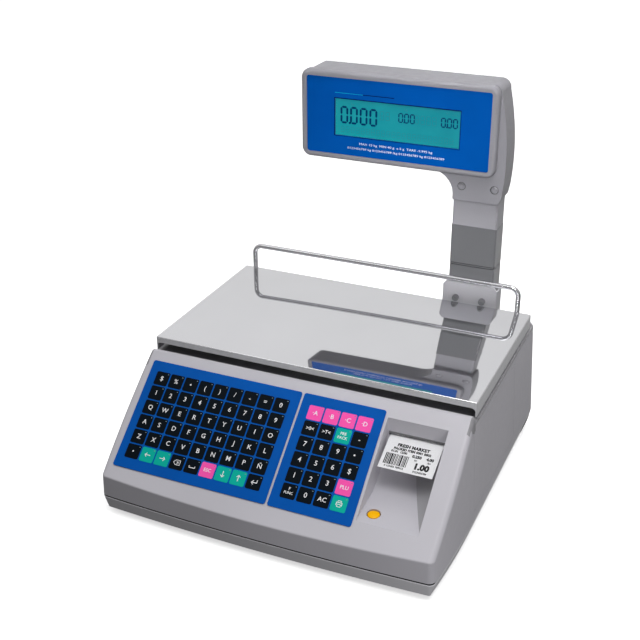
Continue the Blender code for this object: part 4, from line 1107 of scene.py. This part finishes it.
def label_print(plane):
    """Generic words, figures and a barcode, in the order of LABEL_WORDS."""
    work = Patchwork(INK)
    for body, *places in LABEL_WORDS:
        a, b, size, weight = mm(*places)
        work.text(plane, body, a, b, size, 0, LABEL_INK, INK, weight=weight)
    draw = random.Random(7)
    a = BARCODE_A[0]
    while a < BARCODE_A[1]:
        width = draw.choice((0.7, 1.1, 1.7))
        work.slab(plane, oblong(mm(a, a + width), BARCODE_B), 0, LABEL_INK, INK)
        a += width + draw.choice((0.5, 0.9))
    return work.object("label_ink")


# ---------------------------------------------------------------- platter

def platter():
    """A folded plate: deep flanges at the sides, shallow ones with rounded openings front and rear."""
    x, (y0, y1), top = PLATE_X, PLATE_Y, PLATE_TOP
    skin, side, front = mm(1.2, 16.6, 7)
    opening = rounded((-x + skin, x - skin), (top - 40 * MM, top - front), 4.5 * MM)
    shell = soften(box("plate", (-x, x), (y0, y1), (top - 30 * MM, top)), 1.5 * MM, 5)
    inner = box("plate_inner", (-x + skin, x - skin), (y0 + skin, y1 - skin), (top - 32 * MM, top - skin))
    cut(
        shell,
        soften(inner, 0.6 * MM, 3),
        box("below", (-1, 1), (-1, 1), (top - 40 * MM, top - side)),
        prism("front_open", opening, "Y", y0 - 5 * MM, y0 + 5 * MM),
        prism("rear_open", opening, "Y", y1 - 5 * MM, y1 + 5 * MM),
    )
    for hole_x in (-GUARD_X, GUARD_X):
        cut(shell, disc("guard_hole", "Z", (hole_x, GUARD_Y), 3.15 * MM, top - 5 * MM, top + 5 * MM))
    shell.data.materials.clear()
    shell.data.materials.append(STEEL)
    shell.data.materials.append(FLANGE)
    for face in shell.data.polygons:
        if face.normal.z < 0.35:
            face.material_index = 1
    settle(shell, None, "platter", "stainless", "platter")


def platter_guard():
    top, bend, foot = PLATE_TOP + 32 * MM, 10 * MM, PLATE_TOP - 9 * MM
    path = [(-GUARD_X, foot), (-GUARD_X, PLATE_TOP)]
    path += arc((-GUARD_X + bend, top - bend), bend, 180, 90, 14)
    path += arc((GUARD_X - bend, top - bend), bend, 90, 0, 14)
    path += [(GUARD_X, PLATE_TOP), (GUARD_X, foot)]
    curve = bpy.data.curves.new("guard", "CURVE")
    curve.dimensions = "3D"
    line = curve.splines.new("POLY")
    line.points.add(len(path) - 1)
    for point, (a, z) in zip(line.points, path):
        point.co = (a, GUARD_Y, z, 1)
    curve.bevel_depth = 3 * MM
    curve.bevel_resolution = 6
    curve.use_fill_caps = True
    wire = link("guard_wire", curve)
    mesh = as_mesh(wire)
    drop(wire)
    settle(link("guard_rail", mesh), CHROME, "platter", "chrome_wire", "platter_guard", angle=40)


# ---------------------------------------------------------------- mast

def mast_bracket():
    """A plate with two side cheeks, standing on the deck in front of the post."""
    x0, x1 = mm(76.5, 143.5)
    low, shoulder, top = DECK_Z + 0.3 * MM, 175.5 * MM, 180 * MM
    face = [(x0, low), (x1, low), (x1, shoulder), (x1 - 4 * MM, top), (x0 + 4 * MM, top), (x0, shoulder)]
    plate = soften(prism("bracket", face, "Y", *mm(165.2, 167.7)), 0.5 * MM, 3)
    for xs in ((x0, x0 + 2 * MM), (x1 - 2 * MM, x1)):
        join(plate, box("bracket_side", xs, mm(165.9, 186), (low, shoulder - 1 * MM)))
    cut(plate, *bolt_holes(160, 172))
    settle(plate, BRACKET, "base", "mast_paint", "mast_bracket")


def bolt_holes(start, end):
    return [disc("hole", "Y", (x, BOLT_Z), 2.7 * MM, *mm(start, end)) for x, _ in BOLT_X]


def post_channel(name, zs, inset):
    """A length of the post's channel, open to the rear, with rounded front edges."""
    wall, small, wide = mm(2, 1.6, 3)
    x0, x1 = MAST_X[0] + inset, MAST_X[1] - inset
    y0, y1 = MAST_Y[0] + inset, MAST_Y[1]
    outline = [(x0, y1)] + arc((x0 + small, y0 + small), small, 180, 270, 5)
    outline += arc((x1 - wide, y0 + wide), wide, 270, 360, 7)
    outline += [(x1, y1), (x1 - wall, y1), (x1 - wall, y0 + wall + 1.5 * MM),
                (x1 - wall - 1.5 * MM, y0 + wall), (x0 + wall, y0 + wall), (x0 + wall, y1)]
    return prism(name, outline, "Z", *zs)


def mast_post():
    """The post from the deck to the head: two dark lengths with a ringed joint, and a lighter top."""
    pieces = [
        (post_channel("post_low", (DECK_Z + 0.3 * MM, 201.0 * MM), 0), PAINT_DARK),
        (post_channel("post_gap", mm(200.5, 204.6), 0.7 * MM), GROOVE),
        (post_channel("post_ring", mm(201.9, 203.4), 0.1 * MM), PAINT_DARK),
        (post_channel("post_mid", mm(204.2, 252.0), 0), PAINT_DARK),
        (post_channel("post_top", (251.8 * MM, MAST_TOP), 0.5 * MM), PAINT),
    ]
    for piece, _ in pieces:
        soften(piece, 0.25 * MM, 2, 60)
    cut(pieces[0][0], *bolt_holes(160, 180))
    post = merged("mast_channel", *pieces)
    # Right-facing faces of the dark lengths take the lighter paint: painted light on the lit side
    post.data.materials.append(PAINT_LIT_SIDE)
    for face in post.data.polygons:
        if face.normal.x > 0.8 and post.data.materials[face.material_index] == PAINT_DARK:
            face.material_index = len(post.data.materials) - 1
    settle(post, None, "base", "mast_paint", "mast_post")


def bracket_bolts():
    """Socket-head bolts; each profile's heights are world y."""
    profile = [(0, 160.9), (1.9, 160.9), (2.3, 160.5), (3.2, 160.5), (3.9, 160.9), (4.2, 161.6), (4.2, 164.9),
               (2.5, 164.9), (2.5, 174), (0, 174)]
    for x, label in BOLT_X:
        bolt = turned("bolt_" + label, "Y", (x, BOLT_Z), profile, 48)
        cut(bolt, disc("socket", "Y", (x, BOLT_Z), 2.0 * MM, *mm(159, 162.6), 6))
        settle(bolt, BOLT, "base", "black_plastic", "bracket_bolt_" + label)


def mast_rear_cover():
    strip = box("rear_strip", (MAST_X[0] + 2.3 * MM, MAST_X[1] - 2.3 * MM), mm(193.6, 195.6), mm(150, 310))
    soften(strip, 0.7 * MM, 3)
    settle(strip, PAINT_DARK, "base", "base_plastic", "mast_rear_cover")


# ---------------------------------------------------------------- display head

def head_side(steps):
    """The head's bulging right side, from the arm up to the top corner."""
    low, rise = ARM_BOTTOM + 14 * MM, HEAD_Z[1] - ARM_BOTTOM - 26 * MM
    shares = [k / steps for k in range(steps + 1)]
    return [((142.5 + 12.5 * t - 19.5 * t * t) * MM, low + rise * t) for t in shares]


def head_outline():
    x0 = HEAD_X[0]
    z0, z1 = HEAD_Z
    arm_x0, arm_z0 = 84.5 * MM, ARM_BOTTOM
    corner = 11 * MM
    bow = head_side(20)
    outline = bow + arc((bow[-1][0] - corner, z1 - corner), corner, 10, 90, 9)
    outline += arc((x0 + corner + 2 * MM, z1 - 4 * MM), 4 * MM, 90, 132, 5)
    outline += arc((x0 + 5 * MM, z1 - 19 * MM), 5 * MM, 132, 180, 5)
    outline += arc((x0 + corner, z0 + corner), corner, 180, 270, 10)
    sweep = 27 * MM
    outline += arc((arm_x0 - sweep, z0 - sweep), sweep, 90, 0, 16)
    outline += arc((arm_x0 + 1.5 * MM, arm_z0 + 1.5 * MM), 1.5 * MM, 180, 270, 4)
    outline += arc((bow[0][0] - 9 * MM, arm_z0 + 8 * MM), 8 * MM, 270, 335, 6)
    return outline


def rear_housing():
    housing = prism("head_body", head_outline(), "Y", BEZEL_BACK + 0.3 * MM, HEAD_Y[1])
    round_edges(housing, lambda p: p.y > HEAD_Y[1] - 0.1 * MM, 3.4 * MM, 5)
    x0, x1 = HEAD_X[0] + 4 * MM, HEAD_X[1] - 4 * MM
    z0, z1 = HEAD_Z[0] + 4 * MM, HEAD_Z[1] - 4 * MM
    inside = [(x0, z0), (x1, z0), (x1, z1), (x0 + 22 * MM, z1), (x0, z1 - 24 * MM)]
    channel_x = (MAST_X[0] - 0.4 * MM, MAST_X[1] + 0.4 * MM)
    channel_y = MAST_Y[0] - 0.4 * MM
    window = rounded((REAR_LCD_X[0] - 20 * MM, REAR_LCD_X[1] + 20 * MM), mm(340, 410), 4 * MM)
    cut(
        housing,
        prism("hollow", inside, "Y", *mm(150, 190)),
        box("channel", channel_x, (channel_y, 200 * MM), (280 * MM, MAST_TOP + 0.5 * MM)),
        box("lip", channel_x, (channel_y, 190 * MM), (MAST_TOP - 1 * MM, HEAD_Z[0] + 5 * MM)),
        prism("window", window, "Y", *mm(193.2, 200)),
        box("rear_lcd_hole", REAR_WINDOW_X, mm(185, 200), REAR_WINDOW_Z),
        *[disc("cap_seat", "Y", (x, CAP_Z), 4.9 * MM, *mm(150, 160.5)) for x, _ in CAP_X],
    )
    settle(housing, HEAD, "base", "head_plastic", "head_rear_housing", angle=28)


def front_bezel():
    front, margin = HEAD_Y[0] - 1.2 * MM, 1 * MM
    bezel = prism("bezel", rounded(HEAD_X, HEAD_Z, 11 * MM, 12), "Y", front, BEZEL_BACK)
    round_edges(bezel, lambda p: p.y < front + 0.1 * MM, 4.6 * MM, 7)
    window_x, window_z = (LCD_X[0] - margin, LCD_X[1] + margin), (LCD_Z[0] - margin, LCD_Z[1] + margin)
    cut(
        bezel,
        prism("panel_seat", rounded(PANEL_X, PANEL_Z, 3 * MM), "Y", 140 * MM, HEAD_Y[0] + 1.2 * MM),
        box("lcd_window", window_x, mm(140, 165), window_z),
    )
    settle(bezel, HEAD, "base", "head_plastic", "head_front_bezel", angle=28)


PANEL_INK = 0.05 * MM
SEGMENT_HEIGHT = 0.06 * MM
SEGMENTS = {
    "0": "abcdef", "1": "bc", "2": "abged", "3": "abgcd", "4": "fgbc",
    "5": "afgcd", "6": "afgedc", "7": "abc", "8": "abcdefg", "9": "abcdfg",
}
# Lit and unlit figures: place (a, b), width, height, thickness and pitch, in mm
LCD_NUMBERS = (
    ("0.000", LCD_DARK, 7.9, 15.8, 7.3, 18.2, 2.5, 12.0),
    ("0.00", LCD_DARK, 78.6, 23.4, 4.5, 10.0, 1.5, 7.0),
    ("0.00", LCD_DARK, 129.4, 23.4, 4.5, 10.0, 1.5, 7.0),
    ("8" * 2, LCD_GHOST, 56.0, 23.6, 4.4, 9.6, 0.7, 6.9),
    ("8" * 4, LCD_GHOST, 98.0, 23.6, 4.4, 9.6, 0.7, 6.9),
    ("8" * 22, LCD_GHOST, 7.6, 4.6, 3.9, 6.4, 0.6, 6.3),
)


def digit(work, plane, mark, a, b, wide, tall, thick, finish):
    """One seven-segment digit; (a, b) is its lower left corner."""
    mid, top, right = b + tall / 2, b + tall, a + wide
    half, gap = thick / 2, thick * 0.12
    ends = {
        "a": ((a, top), (right, top)), "g": ((a, mid), (right, mid)), "d": ((a, b), (right, b)),
        "f": ((a, top), (a, mid)), "b": ((right, top), (right, mid)),
        "e": ((a, mid), (a, b)), "c": ((right, mid), (right, b)),
    }
    for name in SEGMENTS[mark]:
        first, last = (Vector(end) for end in ends[name])
        along = (last - first).normalized()
        side = Vector((-along.y, along.x)) * half
        start, end = first + along * gap, last - along * gap
        lead = along * half
        outline = [start, start + lead + side, end - lead + side, end, end - lead - side, start + lead - side]
        work.slab(plane, outline, 0, SEGMENT_HEIGHT, finish)


def number(work, plane, body, a, b, wide, tall, thick, pitch, finish):
    """A row of digits from (a, b); a point sits in the gap after the digit before it."""
    for mark in body:
        if mark == ".":
            gap = a - pitch + wide
            across = (gap + thick * 0.75, gap + thick * 1.85)
            dot = rounded(across, (b - thick / 2, b + thick / 2), thick * 0.2, 2)
            work.slab(plane, dot, 0, SEGMENT_HEIGHT, finish)
        else:
            digit(work, plane, mark, a, b, wide, tall, thick, finish)
            a += pitch


def lcd_glass(name, xs, zs, plane, ys, node):
    """The display's glass with its lit and unlit segments."""
    glass = soften(box(name + "_slab", xs, ys, zs), 0.3 * MM, 2)
    work = Patchwork(LCD_DARK, LCD_GHOST)
    for body, finish, *sizes in LCD_NUMBERS:
        number(work, plane, body, *mm(*sizes), finish)
    for a, body in ((20.0, "kg"), (84.0, "/kg"), (134.0, "TOTAL")):
        work.text(plane, body, *mm(a, 38.2, 4.2), 0, SEGMENT_HEIGHT, LCD_GHOST, "LEFT")
    marks = work.object(name + "_marks")
    settle(merged(name, (glass, LCD), (marks, None)), None, "base", "lcd", node)


def display_front():
    """The blue panel with its print, and the glass behind its window."""
    inset, margin = 0.25 * MM, 0.2 * MM
    xs, zs = (PANEL_X[0] + inset, PANEL_X[1] - inset), (PANEL_Z[0] + inset, PANEL_Z[1] - inset)
    film = prism("panel_film", rounded(xs, zs, 2.8 * MM), "Y", HEAD_Y[0], HEAD_Y[0] + 0.9 * MM)
    cut(film, box("panel_window", LCD_X, mm(140, 160), LCD_Z))
    settle(film, BLUE_HEAD, "base", "printed_film", "display_panel_front")
    settle(panel_print(), None, "base", "printed_film")
    glass_y = HEAD_Y[0] + 0.7 * MM
    plane = Plane((LCD_X[0], glass_y, LCD_Z[0]), (1, 0, 0), (0, 0, 1))
    glass_x, glass_z = (LCD_X[0] + margin, LCD_X[1] - margin), (LCD_Z[0] + margin, LCD_Z[1] - margin)
    lcd_glass("display_glass_front", glass_x, glass_z, plane, (glass_y, 155 * MM), "lcd_front")


def panel_print():
    """The panel's two rules, the line round its window, and two rows of generic ratings."""
    plane = Plane((0, HEAD_Y[0], 0), (1, 0, 0), (0, 0, 1))
    work = Patchwork(CYAN_INK, NAVY_INK, WHITE_INK)
    for x0, z0, x1, z1, width, finish in (
        (-59.4, 399.4, -25, 399.4, 0.55, CYAN_INK),
        (-25, 399.4, 13, 399.4, 0.9, NAVY_INK),
        (-60, 393.2, 92.4, 393.2, 0.9, NAVY_INK),
        (-60, 348.6, 92.4, 348.6, 0.5, NAVY_INK),
        (-60, 348.6, -60, 393.2, 0.9, NAVY_INK),
        (92.4, 348.6, 92.4, 393.2, 0.5, NAVY_INK),
    ):
        work.stroke(plane, [mm(x0, z0), mm(x1, z1)], width * MM, 0, PANEL_INK, finish)
    for body, z, size, squeeze in (
        ("MAX 15 kg  MIN 40 g  e 5 g  TARE -9.995 kg", 341.5, 3.6, 1.35),
        ("0123456789 kg 0123456789 /kg 0123456789 kg 0123456789", 335.4, 3.4, 1.42),
    ):
        work.text(plane, body, *mm(16, z, size), 0, PANEL_INK, WHITE_INK, squeeze=squeeze)
    return work.object("panel_print")


def display_rear():
    margin = 19.7 * MM
    outline = rounded((REAR_LCD_X[0] - margin, REAR_LCD_X[1] + margin), mm(340.3, 409.7), 3.8 * MM)
    film = prism("rear_film", outline, "Y", *mm(193.5, 194.6))
    cut(film, box("rear_window", REAR_WINDOW_X, mm(190, 200), REAR_WINDOW_Z))
    settle(film, BLUE_HEAD, "base", "printed_film", "display_panel_rear")
    plane = Plane((REAR_LCD_X[1], 193.6 * MM, 349.6 * MM), (-1, 0, 0), (0, 0, 1))
    lcd_glass("display_glass_rear", mm(-57.7, 89.7), mm(352.3, 389.7), plane, mm(183, 193.6), "lcd_rear")


def screw_caps():
    profile = [(0, 157.5), (2.2, 157.5), (3.4, 157.7), (4.0, 158.1), (4.3, 158.7), (4.3, 160.2), (0, 160.2)]
    for x, label in CAP_X:
        cap = turned("cap", "Y", (x, CAP_Z), profile, 48)
        seat = disc("seat", "Y", (x, CAP_Z), 4.8 * MM, *mm(158.9, 160.4))
        whole = merged("arm_cap_" + label, (cap, HEAD), (seat, GROOVE))
        settle(whole, None, "base", "head_plastic", "arm_screw_cap_" + label)


# ---------------------------------------------------------------- rear and inside

def mains_socket():
    """The inlet with its three pins and two fixing screws."""
    body = soften(box("inlet", mm(-120, -72), REAR_BLOCK_Y, mm(44, 72)), 0.8 * MM, 3)
    opening = [mm(*p) for p in ((-108, 50), (-84, 50), (-84, 62), (-88, 66), (-104, 66), (-108, 62))]
    cut(body, prism("socket", opening, "Y", *mm(180, 205)))
    parts = [(body, BLACK)]
    for x, z in ((-102, 56), (-96, 60), (-90, 56)):
        pin = box("pin", mm(x - 1, x + 1), mm(179, 192), mm(z - 2.2, z + 2.2))
        parts.append((soften(pin, 0.4 * MM, 2), ZINC))
    head = [(0, 197.2), (1.4, 197.2), (2.6, 196.7), (2.6, 196.0), (0, 196.0)]
    for x in (-116, -76):
        parts.append((turned("screw", "Y", mm(x, 58), head, 32), BOLT))
    settle(merged("mains_socket", *parts), None, "base", "black_plastic", "power_inlet")


def port_block():
    """Three data sockets side by side, each with its gold tongue."""
    body = soften(box("ports", mm(-29.7, 29.7), REAR_BLOCK_Y, mm(44.3, 65.7)), 0.6 * MM, 3)
    holes, tongues = [], []
    for middle, half in ((-18, 8), (1, 7), (20, 6)):
        holes.append(box("hole", mm(middle - half, middle + half), mm(186, 205), mm(50, 60)))
        tongue_x = mm(middle - half + 2, middle + half - 2)
        tongues.append((box("tongue", tongue_x, mm(185, 193), mm(56.4, 58.4)), COPPER))
    cut(body, *holes)
    settle(merged("port_block", (body, BLACK), *tongues), None, "base", "black_plastic", "data_ports")


def bubble_level():
    """A round spirit level: its ring, its domed glass and the bubble; heights run from the deck."""
    ring = [(0, -7.5), (9, -7.5), (9, 0.6), (8.4, 1.3), (7.4, 1.3), (7.0, 0.5), (0, 0.5)]
    dome = [(0, 0), (6.9, 0), (6.9, 0.8), (5.0, 1.3), (2.5, 1.5), (0, 1.6)]
    pocket = [(0, 1.0), (2.0, 1.0), (1.9, 1.62), (0, 1.66)]
    off_centre = (LEVEL_XY[0] + 0.6 * MM, LEVEL_XY[1] - 0.4 * MM)
    parts = [
        (turned("level_ring", "Z", LEVEL_XY, ring, base=DECK_Z), BLACK),
        (turned("level_glass", "Z", LEVEL_XY, dome, base=DECK_Z), VIAL),
        (turned("bubble", "Z", off_centre, pocket, 32, DECK_Z), BUBBLE),
    ]
    settle(merged("spirit_level", *parts), None, "base", "lcd", "bubble_level")


def keep(finish, *nodes):
    """CAD nodes whose shape is right, given their finish."""
    for name in nodes:
        obj = frame["nodes"][name]
        if not obj.material_slots:
            obj.data.materials.append(finish)
        for slot in obj.material_slots:
            slot.material = finish


def inner_pieces():
    keep(BOARD, "keyboard_board", "main_board", "display_board")
    keep(ZINC, "printer_frame", "power_supply", "print_motor")
    keep(RUBBER, "platen_roller", *[n for n in frame["nodes"] if n.startswith("platter_stud")])
    keep(GEAR, "platen_gear", "motor_gear", "roll_spindle", "takeup_spool")
    keep(CAST, "platform_spider", "cell_mount_block", "cell_top_block", "print_head")
    keep(MACHINED, "load_cell", "peel_bar")
    keep(BLACK, "power_switch")


def label_roll():
    """The wound roll on its core; the rims show the turns, the outside is plain paper."""
    x0, x1 = mm(105.5, 165.5)
    outer, core, bore, ease = mm(40, 9, 6.3, 0.3)
    wound = [(core, x0), (outer - ease, x0), (outer, x0 + ease), (outer, x1 - ease), (outer - ease, x1),
             (core, x1)]
    ends = (x0 - 0.2 * MM, x1 + 0.2 * MM)
    skin = core + 0.05 * MM
    roll = ring_form("wound", wound, 96)
    tube = ring_form("tube", [(bore, ends[0]), (skin, ends[0]), (skin, ends[1]), (bore, ends[1])], 64)
    whole = merged("paper_roll", (roll, WOUND), (tube, BACKING))
    mesh = whole.data
    mesh.materials.append(PAPER)
    for face in mesh.polygons:
        if abs(face.normal.x) < 0.3 and face.material_index == 0:
            face.material_index = 2
    settle(whole, None, "label_roll", "paper", "label_roll")


def ring_form(name, profile, sides):
    """A ring turned about the roll's axis; profile is a closed loop of (radius, x)."""
    points = []
    for radius, x in profile:
        points += [(x, y, z) for y, z in arc(ROLL, radius, 0, 360, sides)[:-1]]
    count = len(profile)
    faces = []
    for i in range(count):
        low, high = i * sides, ((i + 1) % count) * sides
        faces += [(low + k, low + (k + 1) % sides, high + (k + 1) % sides, high + k) for k in range(sides)]
    return from_faces(name, points, faces)


# ---------------------------------------------------------------- stage

CAMERA_PLACE = (0.42269, -0.98218, 0.71103)
CAMERA_TURN = (0.4179206, 0.4567154, -0.0052353)
CAMERA_LENS = 60.516
BRIGHT_SIDE = (-0.3, 0.58, 0.76)
# For each kind of ray: the ramp's two ends, as cosines to BRIGHT_SIDE, and the room's brightness at each
ROOM_RAMPS = (
    ("", -0.4, 0.9, 0.05, 0.7),
    ("Is Glossy Ray", -0.4, 0.95, 0.2, 0.95),
    ("Is Camera Ray", -1, 1, 1, 1),
)


def floor():
    mesh = bpy.data.meshes.new("floor")
    mesh.from_pydata([(x, y, 0) for x, y in oblong((-6, 6), (-6, 6))], [], [(0, 1, 2, 3)])
    ground = link("floor", mesh)
    finish = Finish("floor_pale", 0.9, Emission_Color=(1, 1, 1), Emission_Strength=0.55)
    finish.colour((0.93, 0.93, 0.93))
    ground.data.materials.append(finish.material)
    ground.visible_diffuse = False
    ground.visible_glossy = False


def world():
    """A soft white room, brightest above and behind; each kind of ray has its own ramp of brightness."""
    made = bpy.data.worlds.new("studio")
    made.use_nodes = True
    nodes, links = made.node_tree.nodes, made.node_tree.links
    facing = nodes.new("ShaderNodeVectorMath")
    facing.operation = "DOT_PRODUCT"
    facing.inputs[1].default_value = Vector(BRIGHT_SIDE).normalized()
    links.new(nodes.new("ShaderNodeTexCoord").outputs["Generated"], facing.inputs[0])
    path = nodes.new("ShaderNodeLightPath")
    strength = None
    for kind, *limits in ROOM_RAMPS:
        ramp = nodes.new("ShaderNodeMapRange")
        for socket, value in zip(("From Min", "From Max", "To Min", "To Max"), limits):
            ramp.inputs[socket].default_value = value
        links.new(facing.outputs["Value"], ramp.inputs["Value"])
        if strength is None:
            strength = ramp.outputs["Result"]
            continue
        pick = nodes.new("ShaderNodeMix")
        links.new(path.outputs[kind], pick.inputs[0])
        links.new(strength, pick.inputs[2])
        links.new(ramp.outputs["Result"], pick.inputs[3])
        strength = pick.outputs[0]
    links.new(strength, nodes["Background"].inputs["Strength"])
    nodes["Background"].inputs["Color"].default_value = (1, 1, 1, 1)
    bpy.context.scene.world = made


def area_light(name, place, target, size, power, spread=180):
    data = bpy.data.lights.new(name, "AREA")
    data.spread = math.radians(spread)
    data.shape = "RECTANGLE"
    data.size, data.size_y = size
    data.energy = power
    lamp = link(name, data)
    lamp.location = place
    lamp.rotation_mode = "QUATERNION"
    lamp.rotation_quaternion = (Vector(target) - Vector(place)).to_track_quat("-Z", "Y")
    return lamp


def camera():
    """A camera at CAMERA_PLACE, its view given by yaw, pitch and roll in radians."""
    yaw, pitch, roll = CAMERA_TURN
    ahead = Vector((-math.sin(yaw) * math.cos(pitch), math.cos(yaw) * math.cos(pitch), -math.sin(pitch)))
    right = Vector((math.cos(yaw), math.sin(yaw), 0))
    up = right.cross(ahead)
    across = right * math.cos(roll) + up * math.sin(roll)
    above = up * math.cos(roll) - right * math.sin(roll)
    data = bpy.data.cameras.new("camera")
    data.sensor_width = 36
    data.lens = CAMERA_LENS
    lens = link("camera", data)
    turn = Matrix((across, above, -ahead)).transposed().to_4x4()
    lens.matrix_world = Matrix.Translation(CAMERA_PLACE) @ turn
    bpy.context.scene.camera = lens


def build():
    for piece in (
        upper_casing, printer_door, base_tray, levelling_feet, keypads, sensor_lens, printed_label, platter,
        platter_guard, mast_bracket, mast_post, bracket_bolts, mast_rear_cover, rear_housing, front_bezel,
        display_front, display_rear, screw_caps, mains_socket, port_block, bubble_level, label_roll,
        inner_pieces,
    ):
        piece()


def studio():
    floor()
    world()
    area_light("key", (0.42, -0.42, 1.78), (0, -0.05, 0.12), (0.9, 0.9), 16.5)
    area_light("head_fill", (0.5, -1.4, 1.0), (0.07, 0.16, 0.35), (0.3, 0.2), 0.38, spread=22)
    corner = area_light("corner_fill", (0.43, -0.5, 0.07), (0.17, -0.16, 0.05), (0.14, 0.08), 0.5)
    corner.visible_camera = False
    glint = area_light("edge_glint", (-0.75, -0.72, 1.95), (0, -0.06, 0.15), (0.9, 0.5), 2.0)
    glint.visible_diffuse = False
    camera()
    bpy.context.scene.view_settings.view_transform = "Standard"


build()
studio()
